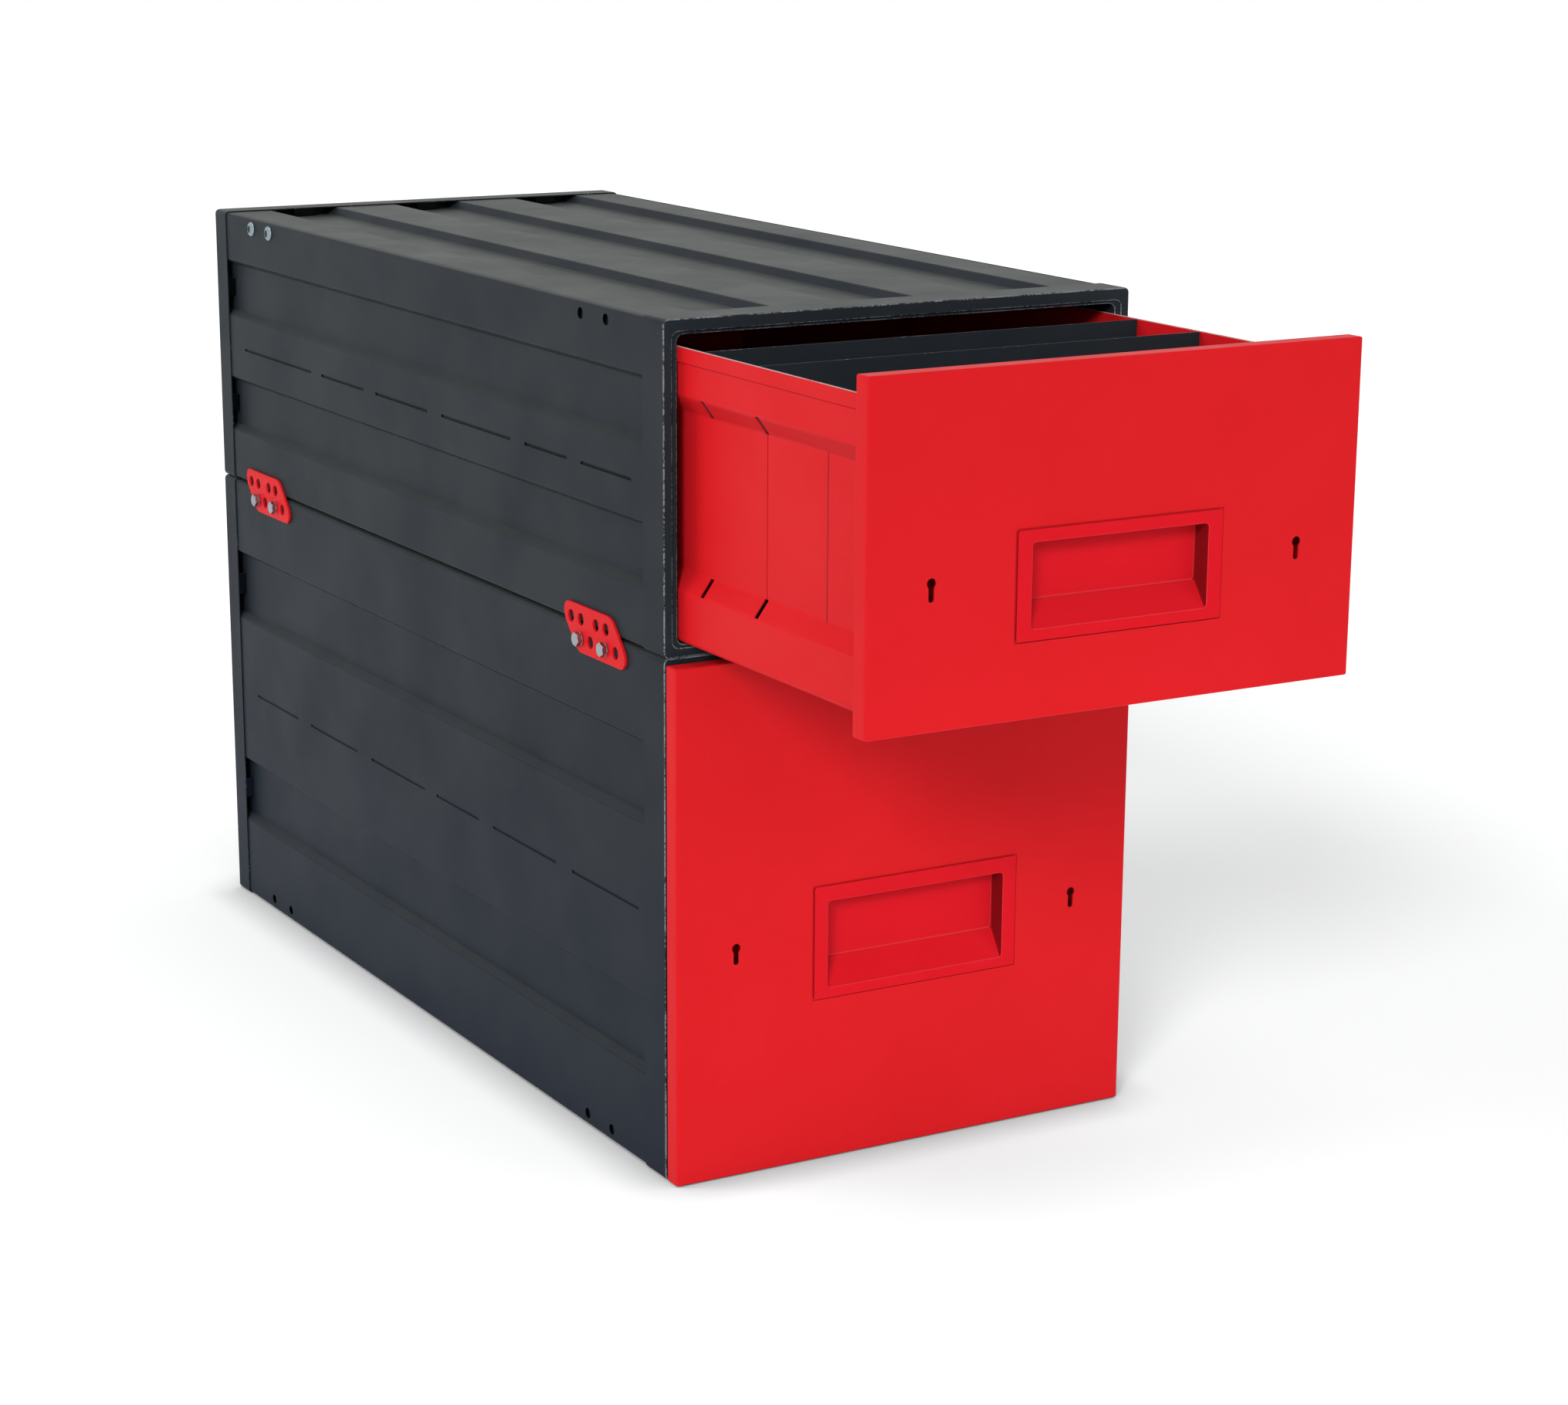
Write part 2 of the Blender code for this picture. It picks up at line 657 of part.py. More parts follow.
def runner(unit, carrier, side, sign):
    """Runner: a channel along the case side, closed at both ends, open towards the drawer."""
    rear = REAR_ROLLER_Y + ROLLER_PATH_HALF + RUNNER_SHEET
    front = REAR_ROLLER_Y - DRAWER_TRAVEL - ROLLER_PATH_HALF - RUNNER_SHEET
    reach = ROLLER_PATH_HALF + RUNNER_SHEET
    near, far = sorted((sign * RUNNER_WEB, sign * (RUNNER_WEB - RUNNER_DEPTH)))
    shape = bmesh.new()
    add_box(shape, (near, front, unit.runner_z - reach), (far, rear, unit.runner_z + reach))
    hollow(shape, (-sign, 0, 0), RUNNER_SHEET, RUNNER_DEPTH - RUNNER_SHEET)
    rail = new_object(f"{unit.name}_{side}_runner", shape, carrier)
    return finish(rail, ZINC, roughness=0.35, metallic=1.0)


def front_roller_place():
    """Distance of a front roller's middle from the centre line, and its axle's height."""
    across = SIDE_HALF - (DRAWER_FLANGE + SIDE_FOLD) / 2
    height = DRAWER_FOOT - FIT_GAP - FRONT_ROLLER / 2
    return across, height


def front_axle(unit, carrier):
    """Cross axle of the front rollers, with the ears that stand on the base panel beside each roller."""
    across, height = front_roller_place()
    foot = PANEL_INSET + CASE_SHEET + FIT_GAP
    head = height + FRONT_AXLE
    inner = FRONT_ROLLER_WIDTH / 2 + EAR_CLEARANCE
    shape = bmesh.new()
    add_rod(shape, "X", (0, FRONT_ROLLER_INSET, height), FRONT_AXLE / 2,
            2 * (across + inner) + EAR_WIDTH, HOLE_SIDES)
    ears = bmesh.new()
    for _, sign in SIDES:
        for turn in (-1, 1):
            near, far = sorted((sign * across + turn * inner, sign * across + turn * (inner + EAR_WIDTH)))
            add_box(ears, (near, FRONT_ROLLER_INSET - EAR_DEPTH / 2, foot),
                    (far, FRONT_ROLLER_INSET + EAR_DEPTH / 2, head))
    name = f"{unit.name}_front_axle"
    axle = new_object(name, shape, carrier)
    combine(axle, new_object(name + "_ears", ears, carrier), "UNION")
    return finish(axle, ZINC, roughness=0.35, metallic=1.0)


def tube_roller(name, parent, location, diameter, width, bore):
    """Plain roller with a through bore, its origin on its axle."""
    shape = bmesh.new()
    inner, outer, half = bore / 2, diameter / 2, width / 2
    edge = (outer - inner) * ROLLER_CHAMFER_SHARE
    section = ((-half, inner), (-half, outer - edge), (-half + edge, outer), (half - edge, outer),
               (half, outer - edge), (half, inner))
    loops = []
    for x, radius in section:
        angles = [2 * math.pi * step / ROUND_SIDES for step in range(ROUND_SIDES)]
        loops.append([(x, radius * math.cos(angle), radius * math.sin(angle)) for angle in angles])
    skin_loops(shape, loops, closed=True)
    roller = new_object(name, shape, parent, location)
    return finish(roller, NYLON, roughness=0.5, smooth=True)


def front_roller(unit, carrier, side, sign):
    """Roller that carries the drawer at the front of the case."""
    across, height = front_roller_place()
    return tube_roller(f"{unit.name}_{side}_front_roller", carrier,
                       (sign * across, FRONT_ROLLER_INSET, height),
                       FRONT_ROLLER, FRONT_ROLLER_WIDTH, FRONT_AXLE + 2 * FIT_GAP)


def rear_roller_centre(unit, sign):
    """Middle of a rear roller in the drawer's frame."""
    outer_face = RUNNER_WEB - RUNNER_SHEET - ROLLER_SIDE_GAP
    return (sign * (outer_face - REAR_ROLLER_WIDTH / 2), REAR_ROLLER_Y, unit.runner_z)


def rear_roller(unit, carrier, side, sign):
    """Roller at the rear of the drawer, which runs in the runner."""
    return tube_roller(f"{unit.name}_{side}_rear_roller", carrier, rear_roller_centre(unit, sign),
                       REAR_ROLLER, REAR_ROLLER_WIDTH, AXLE + 2 * FIT_GAP)


def stub_axle(unit, carrier, name, sign):
    """Stub axle of a rear roller, with its shoulder outside the drawer side and its rivet head inside."""
    centre = rear_roller_centre(unit, sign)
    tip = sign * centre[0] + REAR_ROLLER_WIDTH / 2 - FIT_GAP
    shoulder = sign * centre[0] - REAR_ROLLER_WIDTH / 2 - FIT_GAP
    head = SIDE_HALF - RECESS_DEPTH - DRAWER_SHEET - AXLE_HEAD
    profile = ((tip, 0), (tip, AXLE / 2), (shoulder, AXLE / 2), (shoulder, AXLE_SHOULDER / 2),
               (head, AXLE_SHOULDER / 2), (head, 0))
    shape = bmesh.new()
    add_turned(shape, [(sign * x, radius) for x, radius in profile])
    return new_object(name, shape, carrier, (0, centre[1], centre[2]))


def wall_path(unit, half, foot, head):
    """Left wall of the drawer from its foot to its head, stepped in at the recess."""
    return [(-half, foot), (-half, unit.recess_low),
            (-half + RECESS_DEPTH, unit.recess_low + RECESS_SLOPE),
            (-half + RECESS_DEPTH, unit.recess_high - RECESS_SLOPE),
            (-half, unit.recess_high), (-half, head)]


def divider_places():
    """Distances from the collar's front face to a shut drawer's dividers."""
    return (("near", NEAR_DIVIDER_INSET), ("far", NEAR_DIVIDER_INSET + DIVIDER_SPACING))


def lock_slot_cutter(unit, carrier, name):
    """Slots for both lock bolts through the walls of the drawer."""
    slots = bmesh.new()
    reach_y = LOCK_BOLT_THICKNESS / 2 + LOCK_SLOT_CLEARANCE
    reach_z = LOCK_BOLT_HEIGHT / 2 + LOCK_SLOT_CLEARANCE
    inner = SIDE_HALF - RECESS_DEPTH - DRAWER_SHEET - CUT_OVERRUN
    for _, sign in SIDES:
        near, far = sorted((sign * inner, sign * (DRAWER_HALF + CUT_OVERRUN)))
        add_box(slots, (near, LOCK_BOLT_Y - reach_y, unit.bolt_z - reach_z),
                (far, LOCK_BOLT_Y + reach_y, unit.bolt_z + reach_z))
    return new_object(name, slots, carrier)


def drawer_side(unit, carrier, side, sign):
    """Drawer side: recessed wall, foot flange, hemmed top, slots and the rear roller's stub axle."""
    path = [(-SIDE_HALF + DRAWER_FLANGE, DRAWER_FOOT), *folded_path(unit, SIDE_HALF, SIDE_FOLD)]
    shape = bmesh.new()
    add_prism(shape, mirrored(sheet_outline(path, DRAWER_SHEET), sign), BOX_FRONT, BOX_REAR)
    name = f"{unit.name}_drawer_{side}_side"
    wall = new_object(name, shape, carrier)
    hem = bmesh.new()
    near, far = sorted((sign * (SIDE_HALF - DRAWER_SHEET / 2), sign * DRAWER_HALF))
    add_box(hem, (near, BOX_FRONT, unit.drawer_top - HEM_BAND), (far, BOX_REAR, unit.drawer_top))
    combine(wall, new_object(name + "_hem", hem, carrier), "UNION")
    slots = bmesh.new()
    inner = SIDE_HALF - RECESS_DEPTH - DRAWER_SHEET - FIT_GAP
    near, far = sorted((sign * inner, sign * (SIDE_HALF + CUT_OVERRUN)))
    for _, y in divider_places():
        for low in (unit.recess_low, unit.recess_high - RECESS_SLOPE):
            add_box(slots, (near, y - SLOT_WIDTH / 2, low), (far, y + SLOT_WIDTH / 2, low + RECESS_SLOPE))
    combine(wall, new_object(name + "_slots", slots, carrier), "DIFFERENCE")
    combine(wall, lock_slot_cutter(unit, carrier, name + "_lock_slots"), "DIFFERENCE")
    combine(wall, stub_axle(unit, carrier, name + "_axle", sign), "UNION")
    return finish_paint(wall, RED)


def drawer_floor(unit, carrier):
    """Flat floor that lies on the flanges of the drawer sides."""
    half = SIDE_HALF - SIDE_FOLD - FIT_GAP
    shape = bmesh.new()
    add_box(shape, (-half, BOX_FRONT, FLOOR_LOW), (half, BOX_REAR, FLOOR_HIGH))
    return finish_paint(new_object(f"{unit.name}_drawer_floor", shape, carrier), RED)


def folded_path(unit, half, fold):
    """Left wall of the drawer with the round fold at its foot."""
    centre = (-half + fold, DRAWER_FOOT + fold)
    return arc(centre, fold, 270, 180) + wall_path(unit, half, DRAWER_FOOT, unit.drawer_top)[1:]


def closed_outline(unit, half, fold):
    """Whole outline of the drawer box seen from the front."""
    left = folded_path(unit, half, fold)
    return left + [(-x, z) for x, z in reversed(left)]


def drawer_rear(unit, carrier):
    """Rear wall, cut to the outline of the sides."""
    shape = bmesh.new()
    rear = CASE_DEPTH - DRAWER_REAR_GAP
    add_prism(shape, closed_outline(unit, SIDE_HALF, SIDE_FOLD), rear - DRAWER_SHEET, rear)
    return finish_paint(new_object(f"{unit.name}_drawer_rear", shape, carrier), RED)


def keyhole_cutter(unit, carrier, name, low_y, high_y):
    """Both keyholes: a round hole with a narrower slot below it."""
    cutters = bmesh.new()
    slots = bmesh.new()
    for _, sign in SIDES:
        centre = (sign * KEYHOLE_OFFSET, (low_y + high_y) / 2, unit.keyhole_z)
        add_rod(cutters, "Y", centre, KEYHOLE / 2, high_y - low_y, HOLE_SIDES)
        add_box(slots, (centre[0] - KEYHOLE_SLOT_WIDTH / 2, low_y, unit.keyhole_z - KEYHOLE_SLOT_DROP),
                (centre[0] + KEYHOLE_SLOT_WIDTH / 2, high_y, unit.keyhole_z))
    holes = new_object(name, cutters, carrier)
    return combine(holes, new_object(name + "_slots", slots, carrier), "UNION")


def drawer_front_wall(unit, carrier):
    """Front wall of the box, with wings that lap the outside of both sides."""
    name = f"{unit.name}_drawer_front_wall"
    head = unit.drawer_top - HEM_BAND - FIT_GAP
    shape = bmesh.new()
    add_prism(shape, closed_outline(unit, DRAWER_HALF, DRAWER_FOLD), WALL_FRONT, WALL_FRONT + WING_SHEET)
    wall = new_object(name, shape, carrier)
    wings = bmesh.new()
    foot = DRAWER_FOOT + DRAWER_FOLD
    outline = sheet_outline(wall_path(unit, DRAWER_HALF, foot, head), WING_SHEET)
    for _, sign in SIDES:
        add_prism(wings, mirrored(outline, sign), WALL_FRONT, WALL_FRONT + WING_LENGTH)
    combine(wall, new_object(name + "_wings", wings, carrier), "UNION")
    combine(wall, lock_slot_cutter(unit, carrier, name + "_lock_slots"), "DIFFERENCE")
    keyholes = keyhole_cutter(unit, carrier, name + "_keyholes", WALL_FRONT - CUT_OVERRUN,
                              WALL_FRONT + WING_SHEET + CUT_OVERRUN)
    return finish_paint(combine(wall, keyholes, "DIFFERENCE"), RED)


def handle_rectangle(unit, grow_side, grow_low, grow_high):
    """Left, right, low and high edges of the handle opening, grown by the given amounts."""
    left = unit.handle_centre - unit.handle_width / 2 - grow_side
    right = unit.handle_centre + unit.handle_width / 2 + grow_side
    low = unit.handle_bottom - grow_low
    high = unit.handle_bottom + unit.handle_height + grow_high
    return left, right, low, high


def return_flange(unit, carrier, name):
    """Flange folded in around the back of the drawer front, which laps the front wall of the box."""
    outer = (-CASE_WIDTH / 2 + FRONT_SHEET / 2, CASE_WIDTH / 2 - FRONT_SHEET / 2,
             unit.front_low + FRONT_SHEET / 2, unit.front_high - FRONT_SHEET / 2)
    inner = (-DRAWER_HALF + FRONT_LAP, DRAWER_HALF - FRONT_LAP,
             DRAWER_FOOT + FRONT_LAP, unit.drawer_top - FRONT_LAP)
    back = FACE_Y + FRONT_DEPTH
    front = back - FRONT_SHEET
    loops = [corner_loop(*outer, FRONT_CORNER, back), corner_loop(*outer, FRONT_CORNER, front),
             corner_loop(*inner, FRONT_CORNER, front), corner_loop(*inner, FRONT_CORNER, back)]
    shape = bmesh.new()
    skin_loops(shape, loops, closed=True)
    return new_object(name, shape, carrier)


def drawer_front(unit, carrier):
    """Drawer front: a folded tray that covers the collar, cut for the handle and the keyholes."""
    name = f"{unit.name}_drawer_front"
    half = CASE_WIDTH / 2
    shape = bmesh.new()
    add_box(shape, (-half, FACE_Y, unit.front_low), (half, FACE_Y + FRONT_DEPTH, unit.front_high))
    round_edges(shape, edges_along(shape, 1), FRONT_CORNER)
    rim = [edge for face in facing(shape, (0, -1, 0)) for edge in face.edges]
    round_edges(shape, rim, FRONT_EDGE_ROUND)
    hollow(shape, (0, 1, 0), FRONT_SHEET, FRONT_DEPTH - FRONT_SHEET)
    front = new_object(name, shape, carrier)
    combine(front, return_flange(unit, carrier, name + "_flange"), "UNION")
    grow = HANDLE_SHEET + FIT_GAP
    left, right, low, high = handle_rectangle(unit, grow, grow, grow)
    window = bmesh.new()
    behind = FACE_Y + FRONT_SHEET + CUT_OVERRUN
    add_box(window, (left, FACE_Y - CUT_OVERRUN, low), (right, behind, high))
    combine(front, new_object(name + "_window", window, carrier), "DIFFERENCE")
    keyholes = keyhole_cutter(unit, carrier, name + "_keyholes", FACE_Y - CUT_OVERRUN, behind)
    return finish_paint(combine(front, keyholes, "DIFFERENCE"), RED)


def handle_pocket(unit, carrier):
    """Recessed handle: a proud flange around a pocket whose floor ramps up to its back."""
    flange = handle_rectangle(unit, HANDLE_RIM_SIDE, HANDLE_RIM_BOTTOM, unit.handle_rim_top)
    mouth = handle_rectangle(unit, 0, 0, 0)
    ramp = unit.handle_height * HANDLE_RAMP_SHARE
    corner, wall = HANDLE_CORNER, HANDLE_SHEET
    seat = FACE_Y - FIT_GAP
    back = POCKET_BACK
    loops = [
        corner_loop(*handle_rectangle(unit, wall, wall - ramp, wall), corner + wall, back + wall),
        corner_loop(*handle_rectangle(unit, wall, wall, wall), corner + wall, seat),
        corner_loop(*flange, corner, seat),
        corner_loop(*flange, corner, seat - wall),
        corner_loop(*mouth, corner, seat - wall),
        corner_loop(mouth[0], mouth[1], mouth[2] + ramp, mouth[3], corner, back),
    ]
    shape = bmesh.new()
    skin_loops(shape, loops, cap_start=True, cap_end=True)
    return finish_paint(new_object(f"{unit.name}_handle_pocket", shape, carrier), RED)


def lock_case(unit, carrier, side, sign):
    """Lock case behind the front wall, with its keyhole and the channel for its bolt."""
    name = f"{unit.name}_{side}_lock_case"
    low = unit.bolt_z - LOCK_HEIGHT + LOCK_BOLT_HEIGHT
    near, far = sorted((sign * LOCK_END, sign * (LOCK_END - LOCK_WIDTH)))
    shape = bmesh.new()
    add_box(shape, (near, BOX_FRONT, low), (far, LOCK_BACK, low + LOCK_HEIGHT))
    case = new_object(name, shape, carrier)
    channel = bmesh.new()
    reach_y = LOCK_BOLT_THICKNESS / 2 + LOCK_SLOT_CLEARANCE
    reach_z = LOCK_BOLT_HEIGHT / 2 + LOCK_SLOT_CLEARANCE
    near, far = sorted((sign * (LOCK_END - LOCK_BOLT_TAIL - LOCK_SLOT_CLEARANCE),
                        sign * (LOCK_END + CUT_OVERRUN)))
    add_box(channel, (near, LOCK_BOLT_Y - reach_y, unit.bolt_z - reach_z),
            (far, LOCK_BOLT_Y + reach_y, unit.bolt_z + reach_z))
    combine(case, new_object(name + "_channel", channel, carrier), "DIFFERENCE")
    keyhole_depth = LOCK_THICKNESS * LOCK_KEYHOLE_DEPTH_SHARE
    keyholes = keyhole_cutter(unit, carrier, name + "_keyhole", BOX_FRONT - CUT_OVERRUN,
                              BOX_FRONT + keyhole_depth)
    combine(case, keyholes, "DIFFERENCE")
    return finish(case, STEEL, roughness=0.4, metallic=1.0)


def lock_bolt(unit, carrier, side, sign):
    """Lock bolt, drawn back flush with the drawer's widest line, its origin in its middle."""
    inner, outer = LOCK_END - LOCK_BOLT_TAIL, DRAWER_HALF
    half_length = (outer - inner) / 2
    shape = bmesh.new()
    add_box(shape, (-half_length, -LOCK_BOLT_THICKNESS / 2, -LOCK_BOLT_HEIGHT / 2),
            (half_length, LOCK_BOLT_THICKNESS / 2, LOCK_BOLT_HEIGHT / 2))
    bolt = new_object(f"{unit.name}_{side}_lock_bolt", shape, carrier,
                      (sign * (inner + half_length), LOCK_BOLT_Y, unit.bolt_z))
    return finish(bolt, STEEL, roughness=0.3, metallic=1.0)


def divider(unit, carrier, place, y):
    """Lift-out divider, its shoulders in the slots of both ledges, its origin on the floor."""
    wide = SIDE_HALF - DRAWER_SHEET - FIT_GAP
    narrow = SIDE_HALF - RECESS_DEPTH - DRAWER_SHEET - FIT_GAP
    foot = FLOOR_HIGH + FIT_GAP
    slope = RECESS_DEPTH / RECESS_SLOPE
    ledge_low = unit.recess_high - RECESS_SLOPE + SLOT_INSET
    ledge_high = unit.recess_high - (SIDE_HALF - SLOT_INSET - wide) / slope
    half = [(-narrow, 0), (-narrow, ledge_low - foot),
            (-(SIDE_HALF - RECESS_DEPTH - SLOT_INSET), ledge_low - foot),
            (-wide, ledge_high - foot), (-wide, unit.drawer_top - DIVIDER_DROP - foot)]
    outline = half + [(-x, z) for x, z in reversed(half)]
    shape = bmesh.new()
    add_prism(shape, outline, -DIVIDER_SHEET / 2, DIVIDER_SHEET / 2)
    plate = new_object(f"{unit.name}_{place}_divider", shape, carrier, (0, y, foot))
    return finish_paint(plate, DARK_GREY)


def plate_hole_places():
    """Holes of a joining plate as (y, z) distances from its front bolt, lower row first."""
    lower = [(start + step, 0) for start in (0, HOLE_PAIR) for step in (-PLATE_HOLE_STEP, 0)]
    return lower + [(y + PLATE_ROW_SHIFT, z + PLATE_ROW_RISE) for y, z in lower]


def plate_outline():
    """Outline of a joining plate about its front bolt: two opposite corners cut off, all rounded."""
    front = -PLATE_HOLE_STEP - PLATE_FRONT_MARGIN
    rear = HOLE_PAIR + PLATE_ROW_SHIFT + PLATE_REAR_MARGIN
    low, high = -PLATE_EDGE, PLATE_ROW_RISE + PLATE_EDGE
    corners = [(front, low), (rear - PLATE_CHAMFER_RUN, low), (rear, low + PLATE_CHAMFER_RISE),
               (rear, high), (front + PLATE_CHAMFER_RUN, high), (front, high - PLATE_CHAMFER_RISE)]
    points = []
    for index, corner in enumerate(corners):
        here = Vector(corner)
        back = Vector(corners[index - 1]) - here
        ahead = Vector(corners[(index + 1) % len(corners)]) - here
        room = CORNER_LIMIT_SHARE * min(back.length, ahead.length)
        run = min(PLATE_CORNER / math.tan(back.angle(ahead) / 2), PLATE_CORNER, room)
        start, end = here + back.normalized() * run, here + ahead.normalized() * run
        for step in range(CORNER_STEPS + 1):
            share = step / CORNER_STEPS
            point = start * (1 - share) ** 2 + here * 2 * share * (1 - share) + end * share ** 2
            points.append(tuple(point))
    return points


def plate_places():
    """Name and front bolt distance of the joining plates on one side."""
    places = hole_places()
    return (("front", places[0]), ("rear", places[2]))


def joining_plate(carrier, side, sign, place, y):
    """Plate that ties the upper unit to the lower one."""
    name = f"{side}_{place}_joining_plate"
    low = PANEL_HALF + FIT_GAP
    near, far = sorted((sign * low, sign * (low + PLATE_SHEET)))
    level = LOWER_HEIGHT - HOLE_EDGE
    shape = bmesh.new()
    add_prism(shape, [(y + py, level + pz) for py, pz in plate_outline()], near, far, axis="X")
    plate = new_object(name, shape, carrier)
    holes = bmesh.new()
    for py, pz in plate_hole_places():
        add_rod(holes, "X", (sign * (low + PLATE_SHEET / 2), y + py, level + pz), PLATE_HOLE / 2,
                PLATE_SHEET + 2 * CUT_OVERRUN, HOLE_SIDES)
    combine(plate, new_object(name + "_holes", holes, carrier), "DIFFERENCE")
    return finish_paint(plate, RED)


def hex_head(seat):
    """Rings (x, radius, sides) of a washer and a hex head that stand on a seat."""
    corner = BOLT_FLATS / math.sqrt(3)
    head = seat + WASHER_SHEET
    return ((seat, WASHER_DIAMETER / 2, 0), (head, WASHER_DIAMETER / 2, 0), (head, corner, 6),
            (head + BOLT_HEAD, corner, 6))


def button_head(seat):
    """Rings (x, radius, sides) of a domed head with a hexagonal socket."""
    rim = seat + SCREW_HEAD * SCREW_RIM_SHARE
    face = seat + SCREW_HEAD
    socket = SCREW_SOCKET / math.sqrt(3)
    return ((seat, SCREW_HEAD_DIAMETER / 2, 0), (rim, SCREW_HEAD_DIAMETER / 2, 0),
            (face, SCREW_HEAD_DIAMETER * SCREW_FACE_SHARE, 0), (face, socket, 6),
            (face - SCREW_SOCKET_DEPTH, socket, 6))


def ring_of(x, radius, sides, y, z):
    """Points of one ring about a bolt's axis, round where sides is 0."""
    points = []
    for step in range(HOLE_SIDES):
        angle = 2 * math.pi * step / HOLE_SIDES
        reach = radius
        if sides:
            sector = math.pi / sides
            reach = radius * math.cos(sector) / math.cos(math.remainder(angle, 2 * sector))
        points.append((x, y + reach * math.cos(angle), z + reach * math.sin(angle)))
    return points


def screwed_pair(carrier, name, sign, head, y, z):
    """Two bolts a hole pair apart, screwed into one tapped strip behind the panels' flanges."""
    strip_out = TOP_HALF - CASE_SHEET - FIT_GAP
    strip_in = strip_out - NUT_STRIP_SHEET
    middle = y + HOLE_PAIR / 2
    reach = HOLE_PAIR / 2 + NUT_STRIP_OVERHANG
    near, far = sorted((sign * strip_in, sign * strip_out))
    strip = bmesh.new()
    add_box(strip, (near, middle - reach, z - NUT_STRIP_HEIGHT / 2),
            (far, middle + reach, z + NUT_STRIP_HEIGHT / 2))
    pair = new_object(name, strip, carrier)
    bolts = bmesh.new()
    end = strip_in - NUT_STRIP_SHEET
    rings = ((end, BOLT_SHANK / 2, 0), (head[0][0], BOLT_SHANK / 2, 0), *head)
    for place in (y, y + HOLE_PAIR):
        loops = [ring_of(sign * x, radius, sides, place, z) for x, radius, sides in rings]
        skin_loops(bolts, loops, cap_start=True, cap_end=True)
    combine(pair, new_object(name + "_shanks", bolts, carrier), "UNION")
    return finish(pair, ZINC, roughness=0.3, metallic=1.0)


def build_case(unit, carrier):
    """Everything of a unit that stays still."""
    case_top(unit, carrier)
    case_base(unit, carrier)
    front_collar(unit, carrier)
    rear_cap(unit, carrier)
    front_axle(unit, carrier)
    for side, sign in SIDES:
        case_side(unit, carrier, side, sign)
        runner(unit, carrier, side, sign)
        front_roller(unit, carrier, side, sign)


def build_drawer(unit, carrier):
    """Everything of a unit that slides with its drawer."""
    drawer_floor(unit, carrier)
    drawer_rear(unit, carrier)
    drawer_front_wall(unit, carrier)
    drawer_front(unit, carrier)
    handle_pocket(unit, carrier)
    for side, sign in SIDES:
        drawer_side(unit, carrier, side, sign)
        lock_case(unit, carrier, side, sign)
        lock_bolt(unit, carrier, side, sign)
        rear_roller(unit, carrier, side, sign)


def main():
    clear_scene()
    carriers = {}
    drawers = {}
    for unit in UNITS:
        carrier = new_empty(f"{unit.name}_unit", (0, SYSTEM_FRONT, unit.base))
        drawer = new_empty(f"{unit.name}_drawer_slide", (0, -unit.opening, 0), carrier)
        carriers[unit.name] = carrier
        drawers[unit.name] = drawer
        build_case(unit, carrier)
        build_drawer(unit, drawer)
    for place, y in divider_places():
        divider(UPPER, drawers[UPPER.name], place, y)
    low_row = LOWER_HEIGHT - HOLE_EDGE
    top_row = UPPER_HEIGHT - HOLE_EDGE
    for side, sign in SIDES:
        for place, y in plate_places():
            joining_plate(carriers[LOWER.name], side, sign, place, y)
            screwed_pair(carriers[LOWER.name], f"{side}_{place}_plate_bolts", sign,
                         hex_head(PANEL_HALF + PLATE_SHEET + 2 * FIT_GAP), y, low_row)
        screwed_pair(carriers[UPPER.name], f"{side}_case_screws", sign,
                     button_head(PANEL_HALF + FIT_GAP), hole_places()[2], top_row)
    bpy.context.view_layer.update()


main()
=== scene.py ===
"""Looks of a van drawer system: two stacked sheet-steel units, each with one full-width drawer.

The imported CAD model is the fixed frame. Every piece is made in its unit's own frame, where y = 0 is
the front face of the collar and z = 0 the underside, and is then set into its place in metres.
"""

import json
import logging
import math
from dataclasses import dataclass, replace
from enum import Enum

import bmesh
import bpy
from mathutils import Matrix, Vector

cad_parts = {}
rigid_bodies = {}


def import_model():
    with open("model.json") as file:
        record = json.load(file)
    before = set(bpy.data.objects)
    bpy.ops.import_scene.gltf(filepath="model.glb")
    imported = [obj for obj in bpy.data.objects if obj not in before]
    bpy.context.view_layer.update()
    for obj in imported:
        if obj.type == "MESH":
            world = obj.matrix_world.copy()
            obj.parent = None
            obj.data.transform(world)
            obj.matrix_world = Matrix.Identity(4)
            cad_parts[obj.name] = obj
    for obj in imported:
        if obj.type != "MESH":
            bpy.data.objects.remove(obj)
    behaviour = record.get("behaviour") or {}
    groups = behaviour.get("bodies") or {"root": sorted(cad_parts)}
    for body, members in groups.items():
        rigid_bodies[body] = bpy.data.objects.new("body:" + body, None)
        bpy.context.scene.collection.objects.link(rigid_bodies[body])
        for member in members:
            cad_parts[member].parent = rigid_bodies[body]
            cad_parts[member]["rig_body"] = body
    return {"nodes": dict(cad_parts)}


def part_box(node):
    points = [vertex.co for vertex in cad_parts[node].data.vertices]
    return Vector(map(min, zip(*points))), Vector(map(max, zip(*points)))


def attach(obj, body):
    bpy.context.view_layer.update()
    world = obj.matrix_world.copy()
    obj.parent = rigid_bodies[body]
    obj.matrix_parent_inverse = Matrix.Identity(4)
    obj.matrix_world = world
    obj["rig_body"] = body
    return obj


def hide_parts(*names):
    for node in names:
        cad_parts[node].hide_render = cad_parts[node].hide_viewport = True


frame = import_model()

log = logging.getLogger("van_drawers")

Mesh = bmesh.types.BMesh
Box = tuple[float, float, float, float]
Colour = tuple[float, float, float]
Point = tuple[float, float]
Place = tuple[float, float, float]
Path = list[Point]
Socket = bpy.types.NodeSocket

